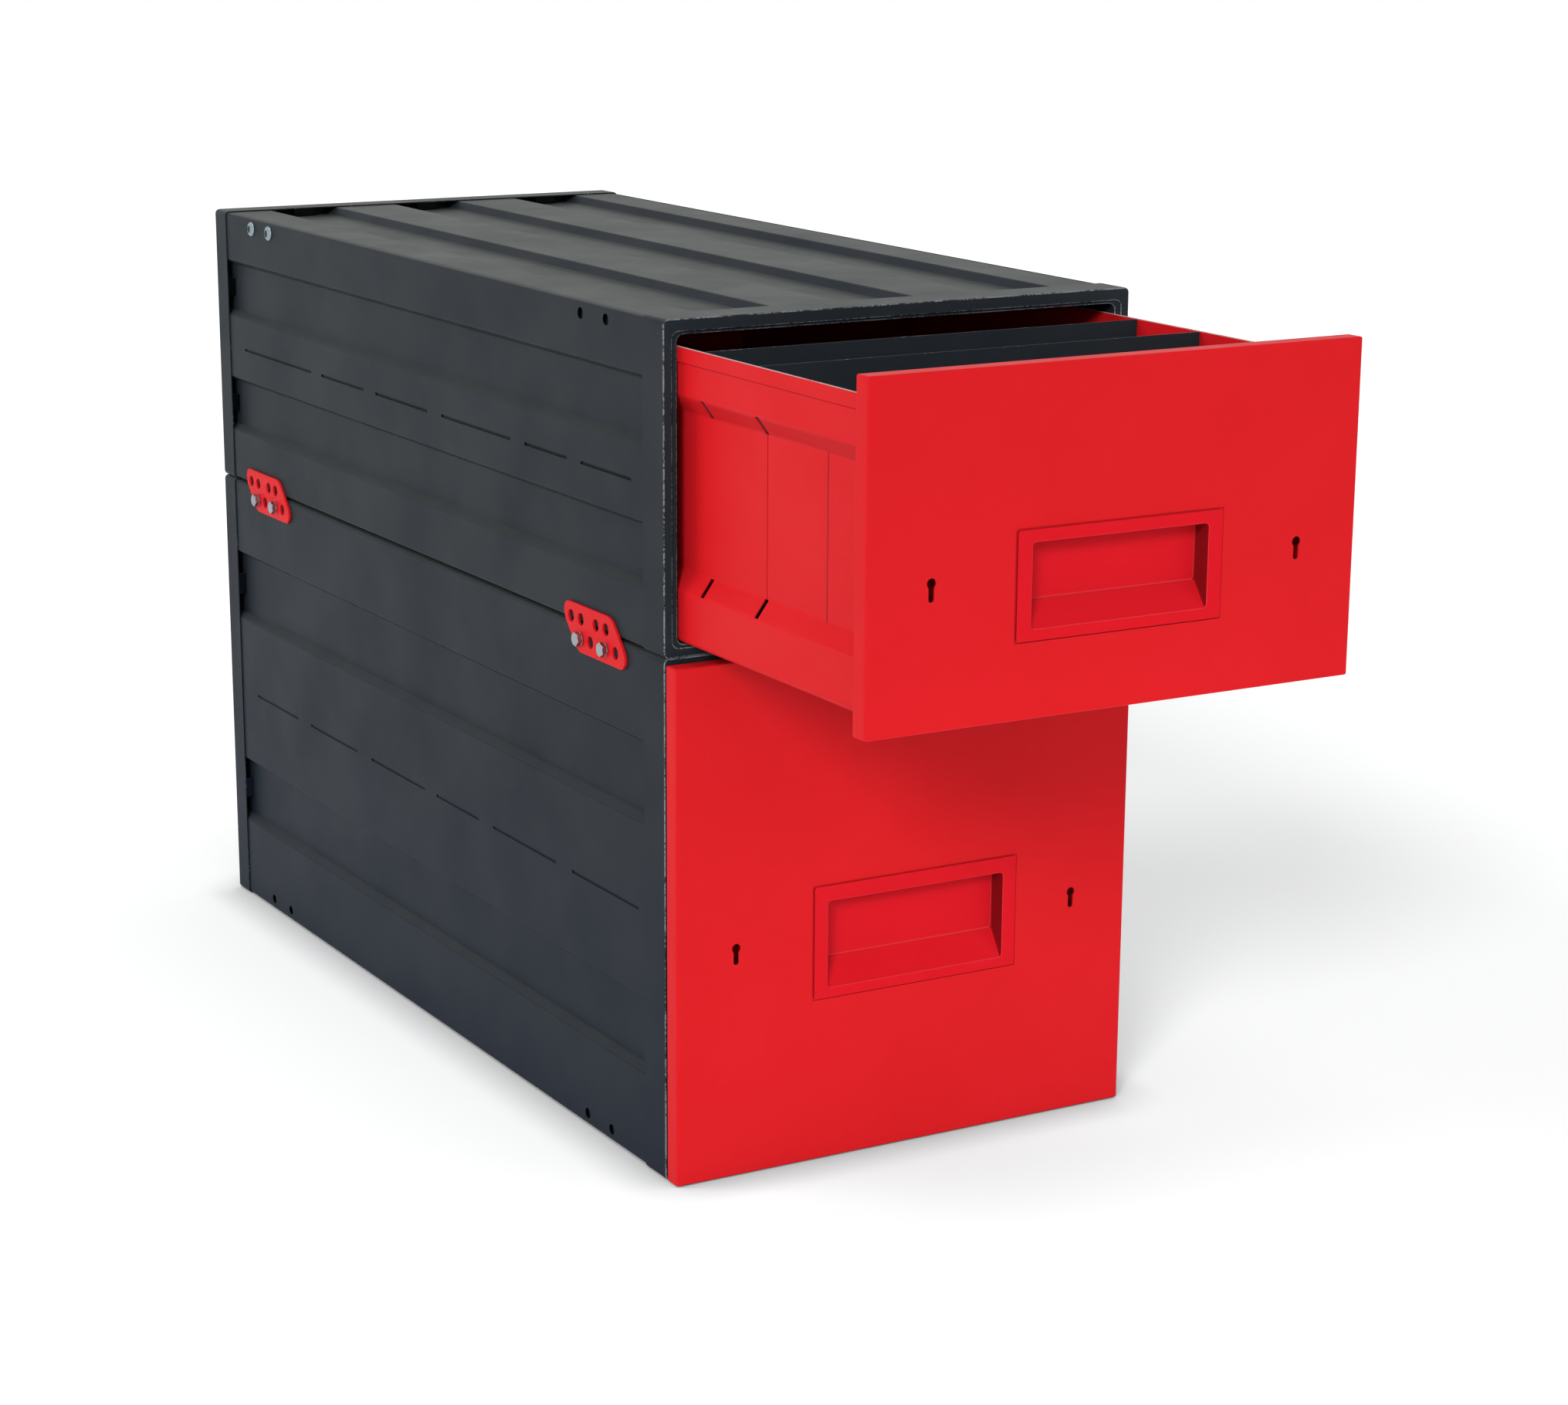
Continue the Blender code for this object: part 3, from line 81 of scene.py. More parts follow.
# Sizes in metres that several classes share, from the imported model

WIDTH = 0.520
DEPTH = 1.130
SYSTEM_FRONT = -0.3844
FIT = 0.0003
SHEET = 0.0012
LIP_SIDE = 0.0093
HEM_SIDE = 0.006
LIP_BOTTOM = 0.009
HEM_BOTTOM = 0.003
OPENING_CORNER = 0.007
WRAP_CORNER = 0.005
HOLE_EDGE = 0.0135
HOLE_PAIR = 0.053
FRONT_HOLE = 0.118
REAR_HOLE = 0.113
PANEL_INSET = SHEET + FIT
PANEL_HALF = WIDTH / 2 - PANEL_INSET
TOP_HALF = PANEL_HALF - (WRAP_CORNER - PANEL_INSET) - 0.002 - FIT
DRAWER_HALF = WIDTH / 2 - LIP_SIDE - HEM_SIDE - 0.0007
SIDE_HALF = DRAWER_HALF - SHEET - FIT
DRAWER_FOOT = LIP_BOTTOM + HEM_BOTTOM + 0.002
DRAWER_FOLD = OPENING_CORNER - 0.0007
SIDE_FOLD = DRAWER_FOLD - SHEET - FIT
FRONT_FOOT = 0.001
FRONT_HEAD = 0.005
FRONT_GAP = 0.0036
FRONT_DEPTH = 0.0191
FACE_Y = -(FRONT_GAP + FRONT_DEPTH)
WALL_FRONT = FIT - FRONT_GAP
BOX_FRONT = WALL_FRONT + SHEET + FIT
BOX_REAR = DEPTH - 0.070 - SHEET - FIT
FRONT_ROLLER = 0.0052
SIDE_FLANGE = 0.030
RECESS_DEPTH = 0.012
RECESS_SLOPE = 0.0165
LOCK_END = SIDE_HALF - RECESS_DEPTH - SHEET - FIT
KEYHOLE_X = LOCK_END - 0.0345
LOCK_BOLT_Y = 0.002 + SHEET + 0.001 + 0.0035
BOLT_ROOM = (0.004, 0.0105)
REAR_AXLE_Y = DEPTH - 0.095
TRAVEL = 0.800
RUNNER_SHARE = 0.503
RECESS_HEIGHT = 0.1827
RECESS_DROP = 0.004

# How far a cutter runs past what it cuts, and the least sizes that a bend keeps inside a sheet

OVERRUN = 0.002
LEAST_CORNER = 0.0003
LEAST_REACH = 0.0002

# Angles in degrees from which an edge is rounded and from which it is shaded sharply, and the mean
# width below which a face is shaded smoothly

SHARP_FROM = 30
SHADED_FROM = 40
NARROW = 0.0022


class Side(Enum):
    """A side of the system, with its sign along X."""

    LEFT = -1
    RIGHT = 1

    @property
    def word(self) -> str:
        """The side's name in small letters."""
        return self.name.lower()

    def span(self, one: float, other: float) -> list[float]:
        """Two distances from the middle as places across this side, the lowest first."""
        return sorted((self.value * one, self.value * other))


class Surface(Enum):
    """A kind of surface on a dressed piece, with its material slot."""

    FACE = 0
    EDGE = 1
    # Worn edges that also take a painted highlight line along rims
    RIM = 2
    # The finish darkened as painted shade
    SEAM = 3


class Slot(Enum):
    """The record's material slots."""

    RED = "red_paint"
    GREY = "grey_paint"
    ZINC = "zinc"
    STEEL = "steel"
    NYLON = "nylon"


@dataclass(frozen=True)
class UnitSizes:
    """Sizes of one drawer unit."""

    name: str
    height: float
    base: float
    opening: float
    channels: tuple[tuple[float, float], ...]
    slits: tuple[tuple[float, float], ...]
    handle: Box
    rim_top: float

    @property
    def runner_z(self) -> float:
        """Height of the runner's middle."""
        return self.height * RUNNER_SHARE

    @property
    def drawer_top(self) -> float:
        """Height of the drawer's top edge."""
        return self.height - 0.025

    @property
    def recess(self) -> tuple[float, float]:
        """Low and high edges of the recess in the drawer's sides."""
        low = self.runner_z - RECESS_DROP - RECESS_HEIGHT / 2
        return low, low + RECESS_HEIGHT

    @property
    def keyhole_z(self) -> float:
        """Height of the keyholes."""
        return (FRONT_FOOT + self.height - FRONT_HEAD) / 2 - 0.025

    @property
    def bolt_z(self) -> float:
        """Height of the lock bolts."""
        return self.keyhole_z + 0.018

    def bolt_room(self, tool: Mesh, near: float, far: float) -> None:
        """Add the room that a lock bolt needs between two places across the unit."""
        depth, rise = BOLT_ROOM
        cube(tool, (near, LOCK_BOLT_Y - depth, self.bolt_z - rise),
             (far, LOCK_BOLT_Y + depth, self.bolt_z + rise))


LOWER = UnitSizes(
    "lower", 0.5217, 0.0, 0.0, ((0.184, 0.335), (0.672, 0.831)),
    ((0.050, 0.178), (0.210, 0.341), (0.372, 0.468), (0.495, 0.623), (0.659, 0.780), (0.815, 0.927)),
    (-0.0925, 0.1105, 0.1785, 0.2665), 0.0160)
UPPER = UnitSizes(
    "upper", 0.318, 0.5220, 0.337, ((0.186, 0.388), (0.616, 0.824)),
    ((0.060, 0.153), (0.180, 0.263), (0.292, 0.439), (0.471, 0.591), (0.620, 0.725), (0.752, 0.930)),
    (-0.0923, 0.0947, 0.0818, 0.1580), 0.0115)


# Sheet-metal work in bmesh


def of_kind(items: list, kind: type) -> list:
    """The items that are of one kind, such as the vertices of an operator's result."""
    return [item for item in items if isinstance(item, kind)]


def cube(shape: Mesh, low: Place, high: Place, radius: float = 0.0, steps: int = 2,
         material: int = -1) -> list:
    """Add a box with rounded edges.

    Args:
        shape: The mesh that takes the box.
        low: Its lowest corner.
        high: Its highest corner.
        radius: Radius of its edges.
        steps: Facets across a rounded edge.
        material: Material slot of the rounded edges.

    Returns:
        The box's vertices before rounding.
    """
    low, high = Vector(low), Vector(high)
    matrix = Matrix.Translation((low + high) / 2) @ Matrix.Diagonal((*(high - low), 1))
    verts = bmesh.ops.create_cube(shape, size=1, matrix=matrix)["verts"]
    if radius:
        edges = list({edge for vert in verts for edge in vert.link_edges})
        bevel(shape, edges, radius, steps, material)
    return verts


def bevel(shape: Mesh, edges: list, radius: float, steps: int = 3, material: int = -1,
          slide: bool = True) -> None:
    """Round some edges."""
    bmesh.ops.bevel(shape, geom=edges, offset=radius, segments=steps, profile=0.5, affect="EDGES",
                    material=material, loop_slide=slide, clamp_overlap=True)


def rod(shape: Mesh, axis: str, centre: Place, radius: float, length: float,
        sides: int = 32, tip: float | None = None) -> list:
    """Add a cylinder or a frustum along an axis.

    Args:
        shape: The mesh that takes it.
        axis: X, Y or Z.
        centre: Its middle.
        radius: Radius at its low end.
        length: Its length.
        sides: Facets round it.
        tip: Radius at its high end, if that differs.

    Returns:
        Its vertices.
    """
    turns = {"X": Matrix.Rotation(math.pi / 2, 4, "Y"), "Y": Matrix.Rotation(-math.pi / 2, 4, "X"),
             "Z": Matrix.Identity(4)}
    made = bmesh.ops.create_cone(shape, cap_ends=True, segments=sides, radius1=radius, depth=length,
                                 radius2=radius if tip is None else tip,
                                 matrix=Matrix.Translation(centre) @ turns[axis])
    return made["verts"]


def ring(shape: Mesh, box: Box, y: float, radius: float, filled: bool = False,
         steps: int = 5) -> list:
    """Add a rounded rectangle that faces the front.

    Args:
        shape: The mesh that takes it.
        box: Its left, right, low and high edges.
        y: Its place from the front.
        radius: Radius of its corners.
        filled: Whether its face stays.
        steps: Facets round a corner.

    Returns:
        Its edges.
    """
    left, right, low, high = box
    matrix = (Matrix.Translation(((left + right) / 2, y, (low + high) / 2))
              @ Matrix.Rotation(math.pi / 2, 4, "X") @ Matrix.Diagonal((right - left, high - low, 1, 1)))
    verts = bmesh.ops.create_grid(shape, x_segments=1, y_segments=1, size=0.5, matrix=matrix)["verts"]
    made = bmesh.ops.bevel(shape, geom=verts, offset=radius, segments=steps, profile=0.5,
                           affect="VERTICES", material=-1)["verts"]
    face = made[0].link_faces[0]
    edges = list(face.edges)
    if not filled:
        bmesh.ops.delete(shape, geom=[face], context="FACES_ONLY")
    return edges


def grown(box: Box, side: float, low: float | None = None, high: float | None = None) -> Box:
    """A rectangle grown by some amount at its sides, its foot and its head."""
    low = side if low is None else low
    high = side if high is None else high
    return box[0] - side, box[1] + side, box[2] - low, box[3] + high


@dataclass(frozen=True)
class Bend:
    """A bend in the section of a drawn sheet: its outer corner, its reach and its roundness in plan."""

    box: Box
    y: float
    reach: float
    corner: float
    kind: Surface = Surface.EDGE

    def stations(self, first: Point, second: Point, depth: float,
                 steps: int) -> list[tuple[Box, float, float]]:
        """Rings that follow the bend.

        Args:
            first: Direction of the run before it, as (inwards, backwards).
            second: Direction of the run after it.
            depth: How deep below the outer skin.
            steps: Facets across it.

        Returns:
            The rectangle, place and corner radius of each ring.
        """
        (in_1, back_1), (in_2, back_2) = first, second
        if first == second:
            inset = -back_1 * depth
            corner = max(self.corner - inset, LEAST_CORNER)
            return [(grown(self.box, -inset), self.y + in_1 * depth, corner)]
        reach = max(self.reach - (in_1 * back_2 - back_1 * in_2) * depth, LEAST_REACH)
        made = []
        for step in range(steps + 1):
            angle = math.pi / 2 * step / steps
            before, after = reach * (1 - math.sin(angle)), reach * (1 - math.cos(angle))
            inset = -(back_1 + back_2) * depth - in_1 * before + in_2 * after
            y = self.y + (in_1 + in_2) * depth - back_1 * before + back_2 * after
            made.append((grown(self.box, -inset), y, max(self.corner - inset, LEAST_CORNER)))
        return made


def drawn(bends: list[Bend], thickness: float, filled: str = "", steps: int = 4) -> Mesh:
    """Draw a sheet round a rectangle, as a collar, a tray or a pocket.

    Args:
        bends: The outer skin's section, with the sheet's body on the left-hand side where inwards points
            right and backwards points up.
        thickness: Thickness of the sheet.
        filled: first or last where the sheet closes the rectangle at that bend.
        steps: Facets across a bend.

    Returns:
        The sheet as a closed mesh, with each bend in the material slot of its kind.
    """
    runs = []
    for one, other in zip(bends, bends[1:]):
        along = other.y - one.y
        inwards = other.box[0] - one.box[0]
        runs.append((0.0, math.copysign(1.0, along)) if abs(along) > 1e-7
                    else (math.copysign(1.0, inwards), 0.0))
    lead = (-1.0, 0.0) if filled == "first" else runs[0]
    tail = (1.0, 0.0) if filled == "last" else runs[-1]
    runs = [lead, *runs, tail]
    skins = [[(number, place) for number, bend in enumerate(bends)
              for place in bend.stations(runs[number], runs[number + 1], depth, steps)]
             for depth in (0.0, thickness)]
    loop = skins[0] + skins[1][::-1]
    caps = {"first": (0, len(loop) - 1), "last": (len(skins[0]) - 1, len(skins[0]))}.get(filled, ())
    shape = bmesh.new()
    rings = [ring(shape, box, 0.1 * index, corner, filled=index in caps)
             for index, (_, (box, _, corner)) in enumerate(loop)]
    for index in range(len(loop)):
        if len(caps) == 2 and index in (caps[0], caps[1]) and (index + 1) % len(loop) in caps:
            continue
        made = bmesh.ops.bridge_loops(shape, edges=rings[index] + rings[(index + 1) % len(loop)])["faces"]
        touched = {loop[index][0], loop[(index + 1) % len(loop)][0]}
        paint(made, Surface.FACE if len(touched) > 1 else bends[touched.pop()].kind)
    for edges, (_, (_, y, _)) in zip(rings, loop):
        for vert in {vert for edge in edges for vert in edge.verts}:
            vert.co.y = y
    outwards(shape)
    return shape


def outwards(shape: Mesh) -> None:
    """Turn a closed mesh's skin outwards."""
    shape.normal_update()
    bmesh.ops.recalc_face_normals(shape, faces=shape.faces)
    if shape.calc_volume(signed=True) < 0:
        bmesh.ops.reverse_faces(shape, faces=shape.faces)


def thicken(shape: Mesh, thickness: float) -> None:
    """Give a sheet its thickness behind its faces, and turn its skin outwards."""
    bmesh.ops.solidify(shape, geom=shape.faces[:], thickness=thickness)
    outwards(shape)


def folded(path: Path, folds: list[float], low: float, high: float, thickness: float,
           steps: int = 4) -> Mesh:
    """Fold a sheet along Y.

    Args:
        path: Points (x, z) of its skin, with the sheet's body on the right-hand side.
        folds: Reach of the bend at each inner point.
        low: Where it starts along Y.
        high: Where it ends along Y.
        thickness: Thickness of the sheet.
        steps: Facets across a bend.

    Returns:
        The sheet as a closed mesh.
    """
    shape = bmesh.new()
    verts = [shape.verts.new((x, low, z)) for x, z in path]
    edges = [shape.edges.new(pair) for pair in zip(verts, verts[1:])]
    made = bmesh.ops.extrude_edge_only(shape, edges=edges)["geom"]
    bmesh.ops.translate(shape, verts=of_kind(made, bmesh.types.BMVert), vec=(0, high - low, 0))
    creases = {}
    for vert, reach in zip(verts[1:-1], folds):
        crease = max(vert.link_edges, key=lambda edge: abs(edge.verts[0].co.y - edge.verts[1].co.y))
        creases.setdefault(reach, []).append(crease)
    for reach, group in creases.items():
        bevel(shape, group, reach, steps)
    bmesh.ops.reverse_faces(shape, faces=shape.faces)
    thicken(shape, thickness)
    return shape


def plate(outline: Path, low: float, high: float, axis: str = "Y") -> Mesh:
    """Cut a flat plate to an outline.

    Args:
        outline: Points (x, z), or (y, z) for a plate across X.
        low: Where it starts along its axis.
        high: Where it ends.
        axis: X or Y.

    Returns:
        The plate as a closed mesh.
    """
    shape = bmesh.new()
    if axis == "Y":
        verts = [shape.verts.new((x, low, z)) for x, z in outline]
        step = Vector((0, high - low, 0))
    else:
        verts = [shape.verts.new((low, y, z)) for y, z in outline]
        step = Vector((high - low, 0, 0))
    face = shape.faces.new(verts)
    made = bmesh.ops.extrude_face_region(shape, geom=[face], use_keep_orig=True)["geom"]
    bmesh.ops.translate(shape, verts=of_kind(made, bmesh.types.BMVert), vec=step)
    outwards(shape)
    return shape


def turned(shape: Mesh, outline: Path, centre: Place, steps: int = 40) -> None:
    """Spin an outline of (x, radius) points about an axis along X through a centre."""
    verts = [shape.verts.new((centre[0] + x, centre[1], centre[2] + radius)) for x, radius in outline]
    edges = [shape.edges.new(pair) for pair in zip(verts, verts[1:])]
    bmesh.ops.spin(shape, geom=verts + edges, cent=centre, axis=(1, 0, 0), dvec=(0, 0, 0),
                   angle=2 * math.pi, steps=steps, use_merge=True)
    bmesh.ops.remove_doubles(shape, verts=shape.verts, dist=1e-6)


def mirrored(half: Path) -> Path:
    """An outline's left half, followed by its right half."""
    return half + [(-x, z) for x, z in reversed(half)]


def arc(centre: Point, radius: float, start: float, end: float, steps: int) -> Path:
    """Points of an arc between two angles in degrees."""
    angles = [math.radians(start + (end - start) * step / steps) for step in range(steps + 1)]
    return [(centre[0] + radius * math.cos(a), centre[1] + radius * math.sin(a)) for a in angles]


def combined(shape: Mesh, tool: Mesh, operation: str) -> Mesh:
    """Work one mesh with another by an exact Boolean.

    Args:
        shape: The mesh that is worked.
        tool: The other mesh.
        operation: DIFFERENCE, INTERSECT or UNION.

    Returns:
        The result, in place of both.
    """
    pair = []
    for word, source in (("work", shape), ("tool", tool)):
        outwards(source)
        mesh = bpy.data.meshes.new(word)
        for _ in Surface:
            mesh.materials.append(None)
        source.to_mesh(mesh)
        source.free()
        pair.append(bpy.data.objects.new(word, mesh))
        bpy.context.scene.collection.objects.link(pair[-1])
    modifier = pair[0].modifiers.new("cut", "BOOLEAN")
    modifier.operation = operation
    modifier.solver = "EXACT"
    modifier.object = pair[1]
    result = bmesh.new()
    result.from_object(pair[0], bpy.context.evaluated_depsgraph_get())
    for used in pair:
        mesh = used.data
        bpy.data.objects.remove(used)
        bpy.data.meshes.remove(mesh)
    return result


def cut(shape: Mesh, tool: Mesh) -> Mesh:
    """Cut one mesh out of another."""
    return combined(shape, tool, "DIFFERENCE")


def paint(faces: list, kind: Surface) -> None:
    """Put faces in the material slot of a kind of surface."""
    for face in faces:
        face.material_index = kind.value


def split(shape: Mesh, axis: int, level: float) -> None:
    """Cut every face of a mesh that crosses a level along an axis."""
    normal = Vector((axis == 0, axis == 1, axis == 2))
    bmesh.ops.bisect_plane(shape, geom=shape.verts[:] + shape.edges[:] + shape.faces[:], dist=1e-7,
                           plane_co=normal * level, plane_no=normal)


def join(shape: Mesh, part: Mesh) -> None:
    """Add a finished mesh to another; it is used up."""
    keep = bpy.data.meshes.new("part")
    part.to_mesh(keep)
    part.free()
    shape.from_mesh(keep)
    bpy.data.meshes.remove(keep)


def soften(shape: Mesh, width: float = 0.00022, steps: int = 1) -> None:
    """Take the sharpness off every edge, over a width and in some facets."""
    sharp = [edge for edge in shape.edges
             if len(edge.link_faces) == 2 and edge.calc_face_angle(0) > math.radians(SHARP_FROM)]
    bevel(shape, sharp, width, steps, Surface.EDGE.value, slide=False)


def mirror(shape: Mesh, side: Side) -> Mesh:
    """Take a mesh made for the left side to its own side."""
    if side is Side.RIGHT:
        bmesh.ops.scale(shape, vec=(-1, 1, 1), verts=shape.verts)
        bmesh.ops.reverse_faces(shape, faces=shape.faces)
    return shape


# Shader node groups for effects that several finishes share


class Nodes:
    """A short hand for building one node tree."""

    def __init__(self, tree: bpy.types.NodeTree) -> None:
        """Keep the tree."""
        self.tree = tree

    def add(self, kind: str, inputs: dict | None = None, **settings: object) -> bpy.types.Node:
        """Add a node.

        Args:
            kind: Its type without the ShaderNode prefix.
            inputs: What goes into its sockets: a socket of another node or a plain value.
            settings: Its own properties.

        Returns:
            The node.
        """
        node = self.tree.nodes.new(kind if kind.startswith("Node") else f"ShaderNode{kind}")
        for name, value in settings.items():
            setattr(node, name, value)
        for name, value in (inputs or {}).items():
            if isinstance(value, Socket):
                self.tree.links.new(value, node.inputs[name])
            else:
                node.inputs[name].default_value = value
        return node

    def effect(self, name: str, place: Socket, **values: float) -> bpy.types.Node:
        """Add a shared effect at a place."""
        return self.add("Group", {"Place": place, **values}, node_tree=bpy.data.node_groups[name])

    def noise(self, place: Socket, scale: float | Socket, detail: float = 2, rough: float = 0.5) -> Socket:
        """A noise texture's factor at a place."""
        return self.add("TexNoise", {"Vector": place, "Scale": scale, "Detail": detail,
                                     "Roughness": rough}).outputs["Fac"]

    def ramp(self, value: Socket, low: float | Socket, high: float | Socket, start: float = 0.0,
             end: float = 1.0) -> Socket:
        """Map a value from one range to another, held at the ends."""
        return self.add("MapRange", {"Value": value, "From Min": low, "From Max": high, "To Min": start,
                                     "To Max": end}, clamp=True).outputs["Result"]

    def maths(self, operation: str, first: float | Socket, second: float | Socket = 0.0) -> Socket:
        """One step of arithmetic."""
        return self.add("Math", {0: first, 1: second}, operation=operation).outputs[0]

    def blend(self, first: Socket, second: Socket, share: float) -> Socket:
        """The sum of two values, the first by its share and the second by the rest."""
        return self.maths("ADD", self.maths("MULTIPLY", first, share),
                          self.maths("MULTIPLY", second, 1 - share))

    def mix(self, share: Socket, first: Colour | Socket, second: Colour | Socket) -> Socket:
        """Mix two colours."""
        first, second = (tone if isinstance(tone, Socket) else (*tone, 1.0) for tone in (first, second))
        return self.add("Mix", {0: share, 6: first, 7: second}, data_type="RGBA").outputs[2]


def group(name: str, inputs: dict[str, float], outputs: tuple[str, ...]) -> tuple[Nodes, bpy.types.Node]:
    """Start a node group whose first input is a place.

    Args:
        name: Its name.
        inputs: Its value inputs and their defaults.
        outputs: Its value outputs.

    Returns:
        A helper for it and its input node.
    """
    tree = bpy.data.node_groups.new(name, "ShaderNodeTree")
    tree.interface.new_socket("Place", in_out="INPUT", socket_type="NodeSocketVector")
    for word, value in inputs.items():
        tree.interface.new_socket(word, in_out="INPUT", socket_type="NodeSocketFloat").default_value = value
    for word in outputs:
        tree.interface.new_socket(word, in_out="OUTPUT", socket_type="NodeSocketFloat")
    return Nodes(tree), tree.nodes.new("NodeGroupInput")


def coat_texture() -> None:
    """The fine orange peel of powder coat, as a height."""
    nodes, start = group("Coat texture", {"Size": 0.0012}, ("Height",))
    scale = nodes.maths("DIVIDE", 1.0, start.outputs["Size"])
    broad = nodes.noise(start.outputs["Place"], scale, 2, 0.55)
    fine = nodes.noise(start.outputs["Place"], nodes.maths("MULTIPLY", scale, 3.1), 1)
    nodes.add("NodeGroupOutput", {"Height": nodes.blend(broad, fine, 0.75)})


def handling() -> None:
    """Cloudy smudges and thin rubs that a handled sheet gathers, each as a mask."""
    nodes, start = group("Handling", {"Size": 0.12}, ("Cloud", "Rubs"))
    place = start.outputs["Place"]
    scale = nodes.maths("DIVIDE", 1.0, start.outputs["Size"])
    cloud = nodes.ramp(nodes.noise(place, scale, 4, 0.6), 0.35, 0.70)
    bent = nodes.add("Mapping", {"Vector": place, "Rotation": (0.5, 0.3, 0.9), "Scale": (1.0, 9.0, 30.0)})
    rubs = nodes.noise(bent.outputs["Vector"], nodes.maths("MULTIPLY", scale, 1.6), 3, 0.7)
    nodes.add("NodeGroupOutput", {"Cloud": cloud, "Rubs": nodes.ramp(rubs, 0.66, 0.74)})


def wear() -> None:
    """Small chips along an edge, as a mask; at a high share they join into a painted highlight line."""
    nodes, start = group("Edge wear", {"Size": 0.0022, "Share": 0.5}, ("Chips",))
    place = start.outputs["Place"]
    scale = nodes.maths("DIVIDE", 1.0, start.outputs["Size"])
    fine = nodes.noise(place, scale, 3, 0.7)
    broad = nodes.noise(place, nodes.maths("MULTIPLY", scale, 0.06), 2)
    low = nodes.maths("SUBTRACT", 0.72, nodes.maths("MULTIPLY", start.outputs["Share"], 0.4))
    chips = nodes.ramp(nodes.blend(fine, broad, 0.65), low, nodes.maths("ADD", low, 0.06))
    nodes.add("NodeGroupOutput", {"Chips": chips})


def settled_dust() -> None:
    """Dust on what faces up, which also paints the top lighter, and painted shade that darkens a panel
    towards the floor, each as a mask.
    """
    nodes, start = group("Settled dust", {"Size": 0.05, "Reach": 0.55}, ("Film", "Foot"))
    place = start.outputs["Place"]
    up = nodes.add("SeparateXYZ", {"Vector": nodes.add("NewGeometry").outputs["True Normal"]}).outputs["Z"]
    cloud = nodes.noise(place, nodes.maths("DIVIDE", 1.0, start.outputs["Size"]), 4, 0.6)
    film = nodes.maths("MULTIPLY", nodes.ramp(up, 0.55, 1.0), nodes.ramp(cloud, 0.2, 0.75, 0.65, 1.0))
    height = nodes.add("SeparateXYZ", {"Vector": place}).outputs["Z"]
    foot = nodes.ramp(height, 0.0, start.outputs["Reach"], 0.75, 0.0)
    nodes.add("NodeGroupOutput", {"Film": film, "Foot": foot})


@dataclass(frozen=True)
class Finish:
    """A finish: its record slot, colours and surface."""

    slot: Slot
    colour: Colour
    shade: Colour
    bare: Colour
    roughness: float
    spread: float
    metallic: float = 0.0
    specular: float = 0.5
    coat_size: float = 0.0012
    coat_depth: float = 0.00004
    chips: float = 0.5
    chips_size: float = 0.0022
    bleed: float = 1.0
    # Share of the chip mask on rims, where it paints a highlight line as well as worn spots
    rim: float = 0.9
    # Darkness factor of the painted shade
    seam: float = 0.2
    # Dust on what faces up, which also paints the top lighter: its strength and colour; then the colour of
    # the painted shade that darkens a panel towards the floor
    dust: float = 0.0
    film: Colour = (0.060, 0.060, 0.052)
    foot: Colour = (0.011, 0.016, 0.028)

    def material(self, name: str, surface: Surface) -> bpy.types.Material:
        """Build the finish as a material.

        Args:
            name: The material's name.
            surface: The kind of surface that it goes on.

        Returns:
            The material.
        """
        made = bpy.data.materials.new(name)
        made.use_nodes = True
        nodes = Nodes(made.node_tree)
        shader = made.node_tree.nodes["Principled BSDF"]
        place = nodes.add("TexCoord").outputs["Object"]
        hand = nodes.effect("Handling", place)
        coat = nodes.effect("Coat texture", place, Size=self.coat_size)
        # Painted shade: the finish's colours darkened by a factor
        depth = self.seam if surface is Surface.SEAM else 1.0
        tones = [tuple(part * depth for part in tone) for tone in (self.colour, self.shade)]
        colour = nodes.mix(hand.outputs["Cloud"], *tones)
        rough = nodes.ramp(hand.outputs["Cloud"], 0.0, 1.0, self.roughness - self.spread,
                           self.roughness + self.spread)
        rough = nodes.maths("ADD", rough, nodes.maths("MULTIPLY", hand.outputs["Rubs"], 0.07))
        # Dust with a painted lighter top on what faces up, and painted shade towards the floor
        if self.dust:
            dust = nodes.effect("Settled dust", place)
            colour = nodes.mix(dust.outputs["Foot"], colour, self.foot)
            colour = nodes.mix(nodes.maths("MULTIPLY", dust.outputs["Film"], self.dust), colour, self.film)
        # Worn chips on edges; on rims the same mask, at a high share, paints a highlight line
        if surface in (Surface.EDGE, Surface.RIM):
            share = self.rim if surface is Surface.RIM else self.chips
            chips = nodes.effect("Edge wear", place, Size=self.chips_size, Share=share)
            colour = nodes.mix(chips.outputs["Chips"], colour, self.bare)
        if self.bleed < 1:
            red, green, blue = self.colour
            plain = (red + green + blue) / 3
            paled = tuple(plain + (part - plain) * self.bleed for part in self.colour)
            colour = nodes.mix(nodes.add("LightPath").outputs["Is Diffuse Ray"], colour, paled)
        bump = nodes.add("Bump", {"Height": coat.outputs["Height"], "Distance": self.coat_depth,
                                  "Strength": 1.0})
        nodes.tree.links.new(colour, shader.inputs["Base Color"])
        nodes.tree.links.new(rough, shader.inputs["Roughness"])
        nodes.tree.links.new(bump.outputs["Normal"], shader.inputs["Normal"])
        shader.inputs["Metallic"].default_value = self.metallic
        shader.inputs["Specular IOR Level"].default_value = self.specular
        return made


# Red: its rim share paints a highlight line with worn spots on the drawer sides' top edges, and its
# darkened copy paints shade in a line under the hems and along the wings' rear edges
RED_COAT = Finish(Slot.RED, (0.715, 0.012, 0.017), (0.690, 0.011, 0.015), (0.46, 0.36, 0.35), 0.44, 0.03,
                  specular=0.07, coat_size=0.0016, coat_depth=0.00003, chips=0.10, bleed=0.05, rim=0.82)
